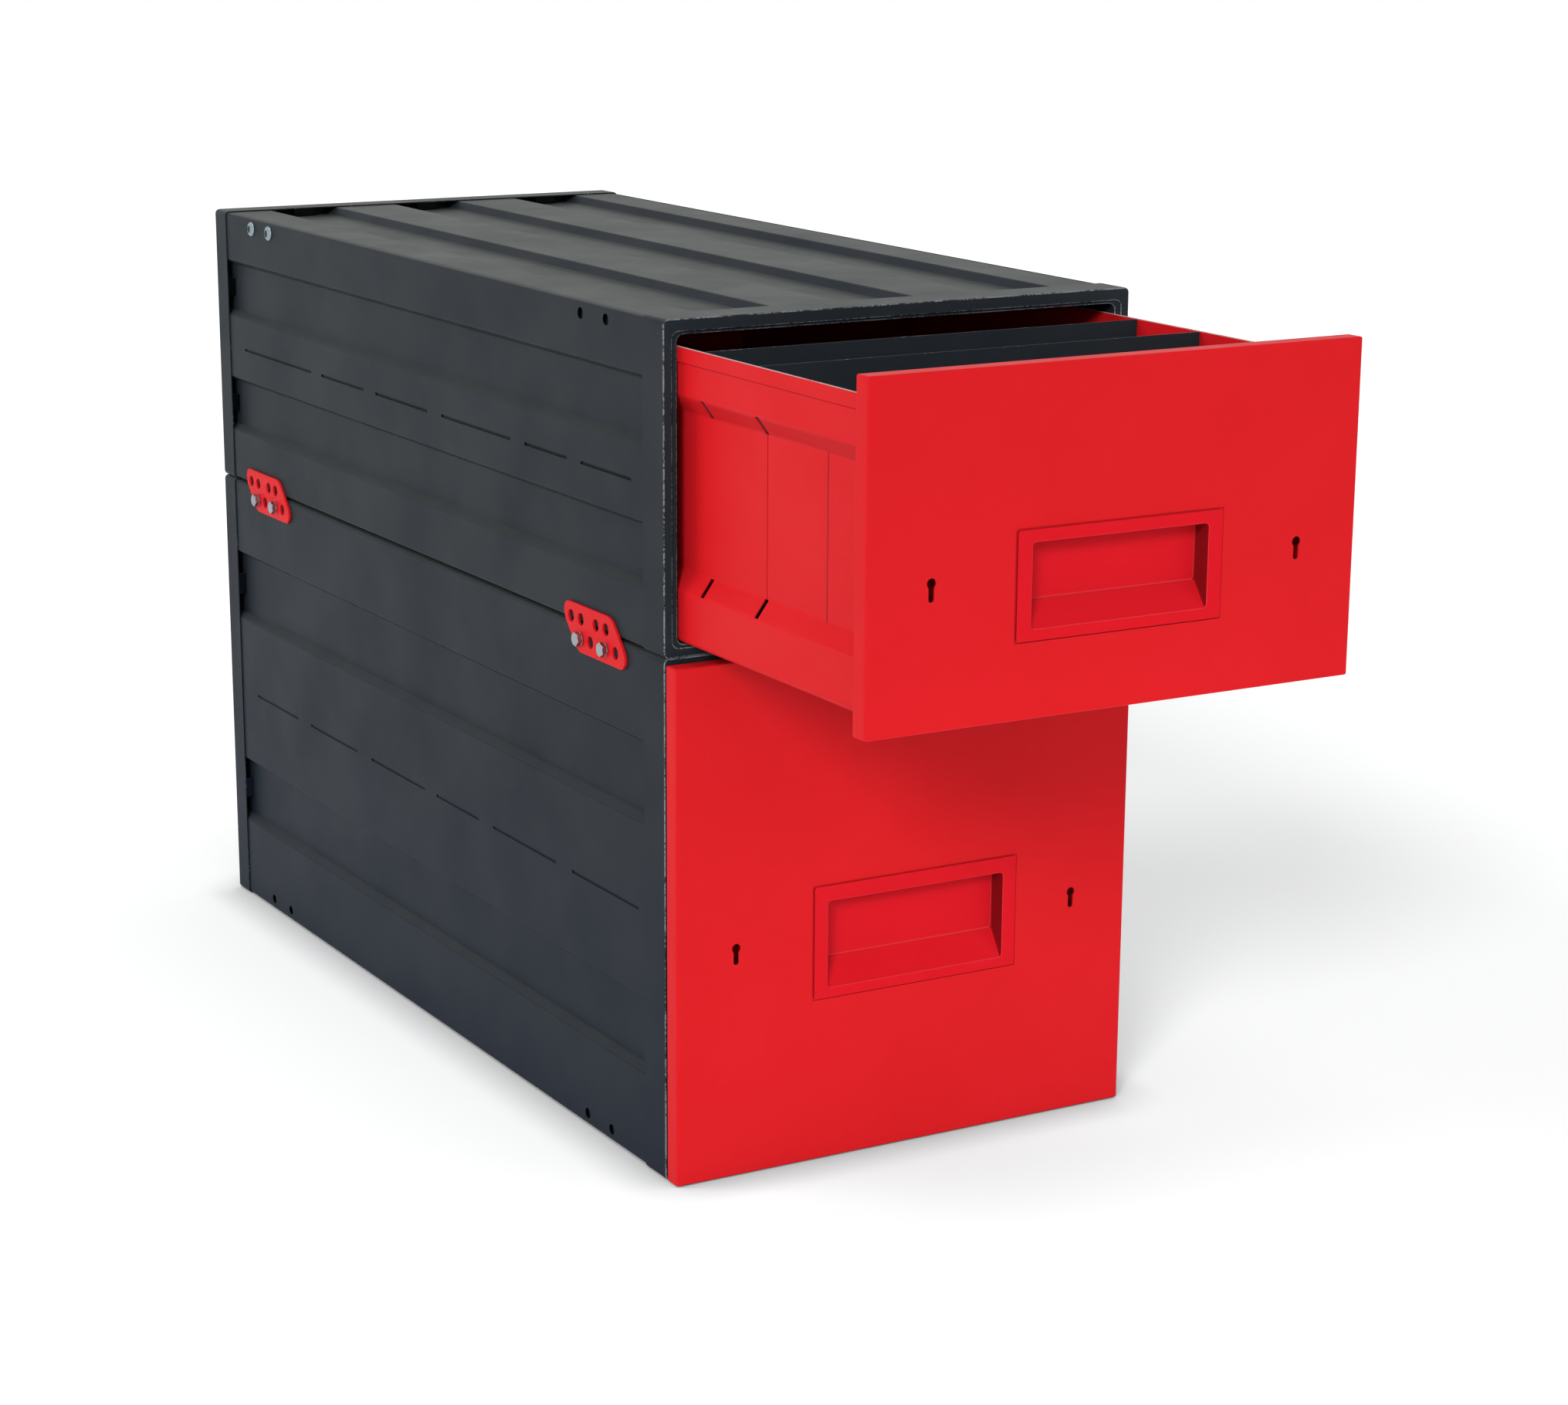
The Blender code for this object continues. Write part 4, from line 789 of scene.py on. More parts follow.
# The handle's lighter edge colour paints highlight lines on the pocket's lips, and its darkened copy paints
# shade on the pocket's side walls
HANDLE_COAT = replace(RED_COAT, colour=(0.715, 0.009, 0.018), shade=(0.690, 0.008, 0.016),
                      bare=(0.74, 0.030, 0.040), specular=0.05, rim=1.0, seam=0.40)
# Grey: its darkened copy paints shade in the slits and at the channels' ends, its rims take painted
# highlight lines with worn spots, its up-facing dusting also paints the top lighter, and it is painted
# darker towards the floor
GREY_COAT = Finish(Slot.GREY, (0.023, 0.028, 0.033), (0.018, 0.023, 0.028), (0.21, 0.225, 0.24), 0.46, 0.04,
                   specular=0.05, coat_size=0.0011, coat_depth=0.00005, chips=0.36, rim=0.66, seam=0.06,
                   dust=0.5, film=(0.076, 0.077, 0.070))
ZINC_PLATE = Finish(Slot.ZINC, (0.34, 0.35, 0.37), (0.27, 0.29, 0.33), (0.45, 0.46, 0.47), 0.34, 0.06,
                    metallic=1.0, coat_size=0.0006, coat_depth=0.00001, chips=0.7)
ZINC_DULL = replace(ZINC_PLATE, colour=(0.30, 0.37, 0.40), shade=(0.22, 0.28, 0.31),
                    bare=(0.42, 0.48, 0.50))
STEEL_PLAIN = Finish(Slot.STEEL, (0.34, 0.35, 0.36), (0.27, 0.28, 0.29), (0.50, 0.51, 0.52), 0.36, 0.08,
                     metallic=1.0, coat_size=0.0008, coat_depth=0.00002, chips=0.5)
NYLON_WHITE = Finish(Slot.NYLON, (0.66, 0.65, 0.61), (0.58, 0.56, 0.52), (0.72, 0.71, 0.68), 0.48, 0.05,
                     coat_size=0.0010, coat_depth=0.00002, chips=0.2)


class Workshop:
    """Turns meshes into dressed pieces of the object."""

    def __init__(self) -> None:
        """Build the shared effects and each finish once."""
        coat_texture()
        handling()
        wear()
        settled_dust()
        self.paints: dict[Finish, list[bpy.types.Material]] = {}
        for word, finish in (("Red powder coat", RED_COAT), ("Handle red", HANDLE_COAT),
                             ("Grey powder coat", GREY_COAT), ("Zinc plate", ZINC_PLATE),
                             ("Dull zinc", ZINC_DULL), ("Plain steel", STEEL_PLAIN),
                             ("White nylon", NYLON_WHITE)):
            self.paints[finish] = [finish.material(f"{word} {kind.name.lower()}", kind) for kind in Surface]

    def publish(self, shape: Mesh, node: str, finish: Finish, offset: Vector,
                narrow: float = NARROW) -> None:
        """Make a mesh the piece that stands for a CAD node.

        Args:
            shape: The finished mesh in its unit's frame; it is used up.
            node: The CAD node.
            finish: Its finish.
            offset: Where its unit or drawer stands.
            narrow: Mean width of a face below which it is shaded smoothly.
        """
        bmesh.ops.translate(shape, verts=shape.verts, vec=offset)
        for face in shape.faces:
            face.smooth = 2 * face.calc_area() < narrow * face.calc_perimeter()
        for edge in shape.edges:
            if len(edge.link_faces) == 2 and edge.calc_face_angle(0) > math.radians(SHADED_FROM):
                edge.smooth = False
        mesh = bpy.data.meshes.new(f"{node}_dressed")
        shape.to_mesh(mesh)
        shape.free()
        piece = bpy.data.objects.new(mesh.name, mesh)
        bpy.context.scene.collection.objects.link(piece)
        for coat in self.paints[finish]:
            mesh.materials.append(coat)
        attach(piece, frame["nodes"][node]["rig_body"])
        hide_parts(node)
        low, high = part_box(node)
        own = [[pick(v.co[axis] for v in mesh.vertices) for pick in (min, max)] for axis in range(3)]
        off = max(max(abs(own[a][0] - low[a]), abs(own[a][1] - high[a])) for a in range(3))
        log.info("%s: %d faces, %.2f mm from its solid's box", piece.name, len(mesh.polygons), off * 1000)


@dataclass
class UnitPart:
    """A part of one unit, whose pieces share a place and a coat."""

    unit: UnitSizes
    shop: Workshop

    @property
    def offset(self) -> Vector:
        """Where the part stands."""
        return Vector((0, SYSTEM_FRONT, self.unit.base))

    def publish(self, shape: Mesh, part: str, finish: Finish) -> None:
        """Publish a piece of this part."""
        self.shop.publish(shape, f"{self.unit.name}_{part}", finish, self.offset)


@dataclass
class Case(UnitPart):
    """The fixed part of one unit: panels, collar, rear cap, runners and front rollers."""

    panel_front: float = 0.0203
    panel_rear: float = DEPTH - PANEL_INSET
    bend: float = 0.0012
    flange_bend: float = 0.0016
    side_hole: float = 0.0057
    flange_hole: float = 0.0053
    slit_half: float = 0.0016
    tab_share: float = 0.30
    tab_round: float = 0.0005
    runner_reach: float = 0.012 + FIT + 0.0015
    runner_sheet: float = 0.0015
    runner_width: float = 0.020
    front_roller_y: float = 0.031
    front_roller_half: float = 0.011
    front_roller_bore: float = 0.0028
    axle_radius: float = 0.0025
    ear: float = 0.004
    channel_depth: float = 0.009
    base_channel: float = 0.003
    channel_slope: float = 0.006
    channel_width: float = 0.1615 * WIDTH
    channel_pitch: float = 0.3077 * WIDTH
    flange: float = 0.020
    collar_depth: float = 0.042
    lip_top: float = 0.012
    lip_bend: float = 0.0009
    hem_setback: float = 0.002
    hem_depth: float = 0.020
    cap_depth: float = 0.033

    def build(self) -> None:
        """Build every piece of the case."""
        for side in Side:
            self.side(side)
            self.runner(side)
            self.front_roller(side)
        self.top()
        self.base()
        self.collar()
        self.cap()
        self.front_axle()

    def hole_rows(self) -> Path:
        """Places (y, z) of the holes in a side."""
        rear = DEPTH - REAR_HOLE
        places = (FRONT_HOLE, FRONT_HOLE + HOLE_PAIR, rear - HOLE_PAIR, rear)
        return [(y, z) for y in places for z in (HOLE_EDGE, self.unit.height - HOLE_EDGE)]

    def side(self, side: Side) -> None:
        """Side panel with two pressed channels, holes and a line of slits."""
        unit = self.unit
        low, high = PANEL_INSET, unit.height - PANEL_INSET
        fold = WRAP_CORNER - PANEL_INSET
        inner = -PANEL_HALF + fold + 0.002
        path = [(inner, low), (-PANEL_HALF, low)]
        folds = [fold]
        for low_share, high_share in unit.channels:
            foot, head = low_share * unit.height, high_share * unit.height
            floor = -PANEL_HALF + self.channel_depth
            path += [(-PANEL_HALF, foot), (floor, foot + self.channel_slope),
                     (floor, head - self.channel_slope), (-PANEL_HALF, head)]
            folds += [self.bend] * 4
        path += [(-PANEL_HALF, high), (inner, high)]
        folds.append(fold)
        shape = folded(path, folds, self.panel_front, self.panel_rear, SHEET)
        soften(shape)
        tool = bmesh.new()
        for y, z in self.hole_rows():
            rod(tool, "X", (-PANEL_HALF, y, z), self.side_hole, 0.006, 32)
        for start, end in unit.slits:
            cube(tool, (-PANEL_HALF - OVERRUN, start * DEPTH, unit.runner_z - self.slit_half),
                 (-PANEL_HALF + SHEET - 0.0002, end * DEPTH, unit.runner_z + self.slit_half))
        # Painted shade: the slits' walls take the darkened grey
        paint(tool.faces, Surface.SEAM)
        self.publish(mirror(cut(shape, tool), side), f"case_{side.word}_side", GREY_COAT)

    def channelled(self, level: float, flange_end: float, depth: float) -> tuple[Path, list[float]]:
        """Path and folds of a panel with three channels.

        Args:
            level: Height of its lands.
            flange_end: Height where its flanges end.
            depth: Depth of its channels, downwards if negative.

        Returns:
            The path from left to right, and the reach of each fold.
        """
        path = [(-TOP_HALF, flange_end), (-TOP_HALF, level)]
        folds = [self.flange_bend]
        for index in (-1, 0, 1):
            centre, half = index * self.channel_pitch, self.channel_width / 2
            path += [(centre - half, level), (centre - half + self.channel_slope, level + depth),
                     (centre + half - self.channel_slope, level + depth), (centre + half, level)]
            folds += [self.bend] * 4
        return path + [(TOP_HALF, level), (TOP_HALF, flange_end)], folds + [self.flange_bend]

    def flanged(self, path: Path, folds: list[float], z: float, part: str) -> None:
        """Fold a top or base panel, cut the holes in both its flanges and publish it."""
        shape = folded(path, folds, self.panel_front, self.panel_rear, SHEET)
        soften(shape)
        tool = bmesh.new()
        for y in sorted({y for y, _ in self.hole_rows()}):
            for side in Side:
                rod(tool, "X", (side.value * TOP_HALF, y, z), self.flange_hole, 0.006, 24)
        self.publish(cut(shape, tool), part, GREY_COAT)

    def top(self) -> None:
        """Top panel, its channels pressed down and its flanges folded down."""
        level = self.unit.height - PANEL_INSET
        path, folds = self.channelled(level, level - self.flange, -self.channel_depth)
        self.flanged(path, folds, self.unit.height - HOLE_EDGE, "case_top")

    def base(self) -> None:
        """Base panel, its shallow channels pressed up and its flanges folded up."""
        path, folds = self.channelled(PANEL_INSET, PANEL_INSET + self.flange, self.base_channel)
        self.flanged(path[::-1], folds[::-1], HOLE_EDGE, "case_base")

    def collar(self) -> None:
        """Front collar: a wrap round the panels, a face, a stepped-back hem and an inner return."""
        whole = (-WIDTH / 2, WIDTH / 2, 0.0, self.unit.height)
        face = grown(whole, -LIP_SIDE, -LIP_BOTTOM, -self.lip_top)
        hem = grown(face, -HEM_SIDE, -HEM_BOTTOM, -HEM_BOTTOM)
        corner, opening = WRAP_CORNER, OPENING_CORNER
        # Painted highlight lines with worn spots on the collar's outer front edge, its opening lip and its
        # hem edge
        shape = drawn([Bend(whole, self.collar_depth, 0.0, corner),
                       Bend(whole, 0.0, 0.0011, corner, Surface.RIM),
                       Bend(face, 0.0, self.lip_bend, opening, Surface.RIM),
                       Bend(face, self.hem_setback, 0.0003, opening),
                       Bend(hem, self.hem_setback, self.lip_bend, opening, Surface.RIM),
                       Bend(hem, self.hem_depth, 0.0, opening)], SHEET)
        soften(shape)
        tool = bmesh.new()
        for side in Side:
            x = side.value * (WIDTH / 2 - LIP_SIDE - HEM_SIDE)
            self.unit.bolt_room(tool, x - 0.003, x + 0.003)
        self.publish(cut(shape, tool), "front_collar", GREY_COAT)

    def cap(self) -> None:
        """Rear cap: a tray round the rear of the panels, with a tab folded into each channel's end."""
        whole = (-WIDTH / 2, WIDTH / 2, 0.0, self.unit.height)
        front = DEPTH - self.cap_depth
        shape = drawn([Bend(whole, DEPTH, 0.0015, WRAP_CORNER), Bend(whole, front, 0.0, WRAP_CORNER)],
                      SHEET, "first")
        soften(shape, 0.0002)
        reach = PANEL_INSET + self.channel_depth - FIT
        tray = set(shape.faces)
        tab = self.channel_width * self.tab_share / 2
        for index in (-1, 0, 1):
            centre = index * self.channel_pitch
            cube(shape, (centre - tab, front, self.unit.height - reach),
                 (centre + tab, front + SHEET, self.unit.height - SHEET / 2), self.tab_round)
        for low_share, high_share in self.unit.channels:
            middle = (low_share + high_share) / 2 * self.unit.height
            tab = (high_share - low_share) * self.unit.height * self.tab_share / 2
            for side in Side:
                near, far = side.span(WIDTH / 2 - reach, WIDTH / 2 - SHEET / 2)
                cube(shape, (near, front, middle - tab), (far, front + SHEET, middle + tab), self.tab_round)
        # Painted shade on the tabs at the channels' ends
        paint([face for face in shape.faces if face not in tray], Surface.SEAM)
        self.publish(shape, "rear_cap", GREY_COAT)

    def runner(self, side: Side) -> None:
        """Runner: a channel along the case side, open towards the drawer."""
        web = PANEL_HALF - SHEET - FIT
        reach = self.runner_reach
        rear = REAR_AXLE_Y + reach
        front = REAR_AXLE_Y - TRAVEL - reach
        shape = bmesh.new()
        cube(shape, (-web, front, self.unit.runner_z - reach),
             (-web + self.runner_width, rear, self.unit.runner_z + reach))
        shape.normal_update()
        mouth = max(shape.faces, key=lambda f: f.normal.x)
        bmesh.ops.delete(shape, geom=[mouth], context="FACES_ONLY")
        bevel(shape, [e for e in shape.edges if len(e.link_faces) == 2], 0.002, 4)
        outwards(shape)
        wall = min(shape.faces, key=lambda f: f.calc_center_median().x)
        if wall.normal.x > 0:
            bmesh.ops.reverse_faces(shape, faces=shape.faces)
        thicken(shape, self.runner_sheet)
        soften(shape, 0.0003)
        self.publish(mirror(shape, side), f"{side.word}_runner", ZINC_PLATE)

    @property
    def roller_place(self) -> Place:
        """Middle of a front roller, from the centre line, the front and the floor."""
        across = SIDE_HALF - (SIDE_FLANGE + SIDE_FOLD) / 2
        return across, self.front_roller_y, DRAWER_FOOT - FIT - FRONT_ROLLER

    def front_roller(self, side: Side) -> None:
        """Roller that carries the drawer at the front of the case."""
        across, y, z = self.roller_place
        shape = roller_mesh((side.value * across, y, z), FRONT_ROLLER, self.front_roller_half,
                            self.front_roller_bore)
        self.publish(shape, f"{side.word}_front_roller", NYLON_WHITE)

    def front_axle(self) -> None:
        """Cross axle of the front rollers, with the ears that carry it."""
        across, y, z = self.roller_place
        inner = self.front_roller_half + 0.0008
        shape = bmesh.new()
        rod(shape, "X", (0, y, z), self.axle_radius, 2 * (across + inner) + self.ear, 24)
        soften(shape, 0.0004, 2)
        for side in Side:
            for turn in (-1, 1):
                near, far = sorted((side.value * across + turn * inner,
                                    side.value * across + turn * (inner + self.ear)))
                cube(shape, (near, y - 0.007, PANEL_INSET + SHEET + FIT), (far, y + 0.007, z + 0.005),
                     0.0008)
        self.publish(shape, "front_axle", ZINC_PLATE)


def roller_mesh(centre: Place, radius: float, half: float, bore: float) -> Mesh:
    """Turn a roller with rounded rims and a raised hub.

    Args:
        centre: Its middle.
        radius: Its radius.
        half: Half its width.
        bore: Radius of its bore.

    Returns:
        The roller.
    """
    rim = (radius - bore) * 0.25
    hub = bore + (radius - bore) * 0.45
    dish = min(half * 0.12, 0.0012)
    section = [(-half, bore), (-half, hub), (-half + dish, hub), (-half + dish, radius - rim * 1.6)]
    section += arc((-half + dish + rim, radius - rim), rim, 180, 90, 4)
    profile = mirrored(section)
    shape = bmesh.new()
    turned(shape, profile + [profile[0]], centre, 48)
    outwards(shape)
    return shape


@dataclass
class Drawer(UnitPart):
    """The sliding part of one unit: box, front, handle, locks and rear rollers."""

    wing: float = 0.091
    hem_band: float = 0.0145
    front_sheet: float = 0.0015
    divider_near: float = 0.195
    divider_far: float = 0.2962
    slot_width: float = 0.0070
    seam_width: float = 0.0014
    seam_depth: float = 0.0009
    rim_height: float = 0.0006
    wall_bend: float = 0.002
    hem_bend: float = 0.00014
    key_hole: float = 0.0047
    key_slot: float = 0.003
    key_drop: float = 0.0135
    front_cut: float = 0.0035
    lap: float = 0.004
    flange_side: float = 0.0155
    flange_foot: float = 0.0105
    pocket_corner: float = 0.0035
    ramp_share: float = 0.29
    lock_size: tuple[float, float, float] = (0.058, 0.0150, 0.064)
    lock_rise: float = 0.020
    cover_inset: float = 0.0025
    screw_inset: float = 0.008
    bolt_size: tuple[float, float, float] = (0.030, 0.0035, 0.010)
    axle_reach: float = 0.2549 - FIT
    axle_shoulder: float = 0.2429 - FIT
    axle_radius: float = 0.004
    shoulder_radius: float = 0.007
    roller_x: float = 0.2489
    roller_size: tuple[float, float, float] = (0.012, 0.006, 0.0043)
    slot_inset: float = 0.0002

    @property
    def offset(self) -> Vector:
        """Where the drawer stands."""
        return Vector((0, SYSTEM_FRONT - self.unit.opening, self.unit.base))

    def build(self) -> None:
        """Build every piece of the drawer."""
        self.floor()
        self.rear()
        self.front_wall()
        self.front()
        self.pocket()
        for side in Side:
            self.side(side)
            self.lock_case(side)
            self.lock_bolt(side)
            self.rear_roller(side)
        if self.unit.opening:
            self.divider("near", self.divider_near)
            self.divider("far", self.divider_far)

    def bolt_slots(self, shape: Mesh) -> Mesh:
        """Cut the lock bolts' slots in a wall."""
        tool = bmesh.new()
        for side in Side:
            self.unit.bolt_room(tool, *side.span(LOCK_END - OVERRUN, DRAWER_HALF + OVERRUN))
        return cut(shape, tool)

    def keyholes(self, shape: Mesh, low: float, high: float,
                 places: tuple[float, ...] = (-KEYHOLE_X, KEYHOLE_X)) -> Mesh:
        """Cut keyholes, each a round hole with a narrower slot below it.

        Args:
            shape: The mesh to cut.
            low: Where the cut starts along Y.
            high: Where it ends.
            places: Their places across the drawer.

        Returns:
            The cut mesh.
        """
        top = self.unit.keyhole_z
        reach = math.degrees(math.asin(self.key_slot / self.key_hole))
        for x in places:
            outline = arc((x, top), self.key_hole, reach - 90, 270 - reach, 28)
            outline += arc((x, top - self.key_drop), self.key_slot, 180, 360, 12)
            shape = cut(shape, plate(outline, low, high))
        return shape

    def side(self, side: Side) -> None:
        """Drawer side: recessed wall, foot flange, folded hem, slots and stub axle."""
        low, high = self.unit.recess
        top = self.unit.drawer_top
        path = [(-SIDE_HALF + SIDE_FLANGE, DRAWER_FOOT), (-SIDE_HALF, DRAWER_FOOT), (-SIDE_HALF, low),
                (-SIDE_HALF + RECESS_DEPTH, low + RECESS_SLOPE),
                (-SIDE_HALF + RECESS_DEPTH, high - RECESS_SLOPE), (-SIDE_HALF, high),
                (-SIDE_HALF, top - SHEET), (-SIDE_HALF - FIT, top - SHEET),
                (-SIDE_HALF - FIT, top - self.hem_band)]
        folds = [SIDE_FOLD, *[self.wall_bend] * 4, *[self.hem_bend] * 2]
        shape = folded(path, folds, BOX_FRONT, BOX_REAR, SHEET)
        soften(shape)
        tool = bmesh.new()
        for y in (self.divider_near, self.divider_far):
            for foot in (low, high - RECESS_SLOPE):
                cube(tool, (-SIDE_HALF - OVERRUN, y - self.slot_width / 2, foot),
                     (-LOCK_END, y + self.slot_width / 2, foot + RECESS_SLOPE))
        shape = self.bolt_slots(cut(shape, tool))
        floor = -SIDE_HALF + RECESS_DEPTH + self.seam_depth
        foot, head = low + RECESS_SLOPE, high - RECESS_SLOPE
        seam = plate([(floor - 0.004, foot), (floor, foot), (floor, head), (floor - 0.004, head)],
                     self.divider_near - self.seam_width / 2, self.divider_near + self.seam_width / 2)
        shape = cut(shape, seam)
        self.side_surfaces(shape, top)
        self.stub_axle(shape)
        self.publish(mirror(shape, side), f"drawer_{side.word}_side", RED_COAT)

    def side_surfaces(self, shape: Mesh, top: float) -> None:
        """Paint worn spots and a highlight on the rim on top of a side, and a painted shadow line under its
        hem.
        """
        under = top - self.hem_band
        for level in (top - self.rim_height, under, under - self.seam_width / 2):
            split(shape, 2, level)
        middles = [(face, face.calc_center_median()) for face in shape.faces]
        # Painted highlight with worn spots on the top rim, and painted shadow in a line under the hem
        paint([face for face, middle in middles if middle.z > top - self.rim_height], Surface.RIM)
        paint([face for face, middle in middles if abs(middle.x + SIDE_HALF) < 1e-5
               and under - self.seam_width / 2 < middle.z < under], Surface.SEAM)

    def stub_axle(self, shape: Mesh) -> None:
        """Add the rear roller's axle, its shoulder outside a side and its rivet head inside."""
        reach, shoulder, head = self.axle_reach, self.axle_shoulder, LOCK_END - SHEET
        thin, thick = self.axle_radius, self.shoulder_radius
        turned(shape, [(-reach, 0.0), (-reach, thin - 0.0006), (-reach + 0.0006, thin), (-shoulder, thin),
                       (-shoulder, thick - 0.0004), (-shoulder + 0.0004, thick), (-head - 0.0006, thick),
                       (-head, thick - 0.0008), (-head, 0.0)], (0, REAR_AXLE_Y, self.unit.runner_z))
        outwards(shape)

    def floor(self) -> None:
        """Flat floor that lies on the flanges of the sides."""
        half = SIDE_HALF - SIDE_FOLD - FIT
        low = DRAWER_FOOT + SHEET + FIT
        shape = bmesh.new()
        cube(shape, (-half, BOX_FRONT, low), (half, BOX_REAR, low + SHEET))
        soften(shape)
        self.publish(shape, "drawer_floor", RED_COAT)

    def outline(self, half: float, fold: float, head: float | None = None) -> Path:
        """Outline of the drawer box seen from the front.

        Args:
            half: Half its width.
            fold: Radius of its lower corners.
            head: Height of an extra point below the top, if one is needed.

        Returns:
            Its points, from the foot up the left and down the right.
        """
        low, high = self.unit.recess
        left = arc((-half + fold, DRAWER_FOOT + fold), fold, 270, 180, 6)
        left += [(-half, low), (-half + RECESS_DEPTH, low + RECESS_SLOPE),
                 (-half + RECESS_DEPTH, high - RECESS_SLOPE), (-half, high)]
        if head is not None:
            left.append((-half, head))
        left.append((-half, self.unit.drawer_top))
        return mirrored(left)

    def rear(self) -> None:
        """Rear wall, cut to the outline of the sides."""
        shape = plate(self.outline(SIDE_HALF, SIDE_FOLD), BOX_REAR + FIT, BOX_REAR + FIT + SHEET)
        soften(shape)
        self.publish(shape, "drawer_rear", RED_COAT)

    def front_wall(self) -> None:
        """Front wall of the box, with wings folded back round both sides."""
        head = self.unit.drawer_top - self.hem_band - FIT
        shape = bmesh.new()
        face = shape.faces.new([shape.verts.new((x, WALL_FRONT, z))
                                for x, z in self.outline(DRAWER_HALF, DRAWER_FOLD, head)])
        shape.normal_update()
        if face.normal.y > 0:
            bmesh.ops.reverse_faces(shape, faces=[face])
        foot = DRAWER_FOOT + DRAWER_FOLD
        rims = [e for e in face.edges
                if all(foot - 1e-6 < v.co.z < head + 1e-6 and abs(v.co.x) > 0.2 for v in e.verts)]
        made = bmesh.ops.extrude_edge_only(shape, edges=rims)["geom"]
        bmesh.ops.translate(shape, verts=of_kind(made, bmesh.types.BMVert), vec=(0, self.wing, 0))
        bevel(shape, [e for e in shape.edges if len(e.link_faces) == 2], 0.0018)
        outwards(shape)
        wall = max(shape.faces, key=lambda f: f.calc_area())
        if wall.normal.y > 0:
            bmesh.ops.reverse_faces(shape, faces=shape.faces)
        thicken(shape, SHEET)
        shape = self.keyholes(self.bolt_slots(shape), WALL_FRONT - OVERRUN, WALL_FRONT + SHEET + OVERRUN)
        soften(shape)
        # Painted shade: a dark line along the rear edge of each wing
        cut_edge = WALL_FRONT + self.wing - self.seam_width
        wall = DRAWER_HALF - RECESS_DEPTH + 0.001
        split(shape, 1, cut_edge)
        paint([face for face in shape.faces if face.calc_center_median().y > cut_edge
               and abs(face.calc_center_median().x) < wall], Surface.SEAM)
        self.publish(shape, "drawer_front_wall", RED_COAT)

    def front(self) -> None:
        """Drawer front: a folded tray, cut for the handle and the keyholes."""
        unit, lap = self.unit, self.lap
        whole = (-WIDTH / 2, WIDTH / 2, FRONT_FOOT, unit.height - FRONT_HEAD)
        seat = (-DRAWER_HALF + lap, DRAWER_HALF - lap, DRAWER_FOOT + lap, unit.drawer_top - lap)
        back = FACE_Y + FRONT_DEPTH
        shape = drawn([Bend(seat, back, 0.0, 0.002), Bend(whole, back, 0.0010, 0.002),
                       Bend(whole, FACE_Y, 0.0016, 0.002)], self.front_sheet, "last", 5)
        soften(shape)
        window = grown(unit.handle, SHEET + FIT)
        moat = grown(unit.handle, self.flange_side + self.seam_width, self.flange_foot + self.seam_width,
                     unit.rim_top + self.seam_width)
        for (left, right, low, high), depth in ((window, self.front_cut), (moat, self.seam_depth)):
            tool = bmesh.new()
            cube(tool, (left, FACE_Y - OVERRUN, low), (right, FACE_Y + depth, high))
            shape = cut(shape, tool)
        shape = self.keyholes(shape, FACE_Y - OVERRUN, FACE_Y + self.front_cut)
        self.publish(shape, "drawer_front", RED_COAT)

    def pocket(self) -> None:
        """Recessed handle: a proud flange round a pocket whose floor ramps up to its back."""
        unit = self.unit
        seat = FACE_Y - FIT - SHEET
        back = WALL_FRONT - FIT - SHEET
        ramp = self.ramp_share * (unit.handle[3] - unit.handle[2])
        flange = grown(unit.handle, self.flange_side, self.flange_foot, unit.rim_top)
        # The mouth's lip and the ramp's top edge take painted highlight lines
        shape = drawn([Bend(flange, seat, 0.0, 0.0025),
                       Bend(unit.handle, seat, 0.0009, self.pocket_corner, Surface.RIM),
                       Bend(grown(unit.handle, 0.0, -ramp, 0.0), back, 0.0014, self.pocket_corner,
                            Surface.RIM)], SHEET, "last")
        # Painted shade on the pocket's side walls
        walls = {face for face in shape.faces if abs(face.normal.x) > 0.35
                 and seat + 0.0002 < face.calc_center_median().y < back + SHEET / 2}
        paint(walls, Surface.SEAM)
        paint([face for face in shape.faces if face.normal.z < -0.2 and face not in walls], Surface.FACE)
        soften(shape, 0.00035, 2)
        self.publish(shape, "handle_pocket", HANDLE_COAT)

    def lock_case(self, side: Side) -> None:
        """Lock case behind the front wall, with a cover plate and its screws."""
        wide, deep, high = self.lock_size
        low = self.unit.bolt_z - high + self.lock_rise
        shape = bmesh.new()
        cube(shape, (-LOCK_END, BOX_FRONT, low), (-LOCK_END + wide, BOX_FRONT + deep, low + high), 0.0010)
        tool = bmesh.new()
        self.unit.bolt_room(tool, -LOCK_END - OVERRUN, -LOCK_END + self.bolt_size[0] + 0.0005)
        shape = self.keyholes(cut(shape, tool), BOX_FRONT - OVERRUN, BOX_FRONT + 0.004, (-KEYHOLE_X,))
        rim, cover = self.cover_inset, BOX_FRONT + deep
        cube(shape, (-LOCK_END + rim, cover - 0.0002, low + rim),
             (-LOCK_END + wide - rim, cover + 0.0006, low + high - rim), 0.0003, 1)
        for x in (self.screw_inset, wide - self.screw_inset):
            for z in (self.screw_inset, high - self.screw_inset):
                rod(shape, "Y", (-LOCK_END + x, cover + 0.0007, low + z), 0.0028, 0.0006, 20, 0.0020)
        self.publish(mirror(shape, side), f"{side.word}_lock_case", STEEL_PLAIN)

    def lock_bolt(self, side: Side) -> None:
        """Lock bolt, drawn back flush with the drawer."""
        shape = bmesh.new()
        reach, depth, rise = self.bolt_size
        cube(shape, (-DRAWER_HALF, LOCK_BOLT_Y - depth, self.unit.bolt_z - rise),
             (-LOCK_END + reach, LOCK_BOLT_Y + depth, self.unit.bolt_z + rise), 0.0008)
        self.publish(mirror(shape, side), f"{side.word}_lock_bolt", STEEL_PLAIN)

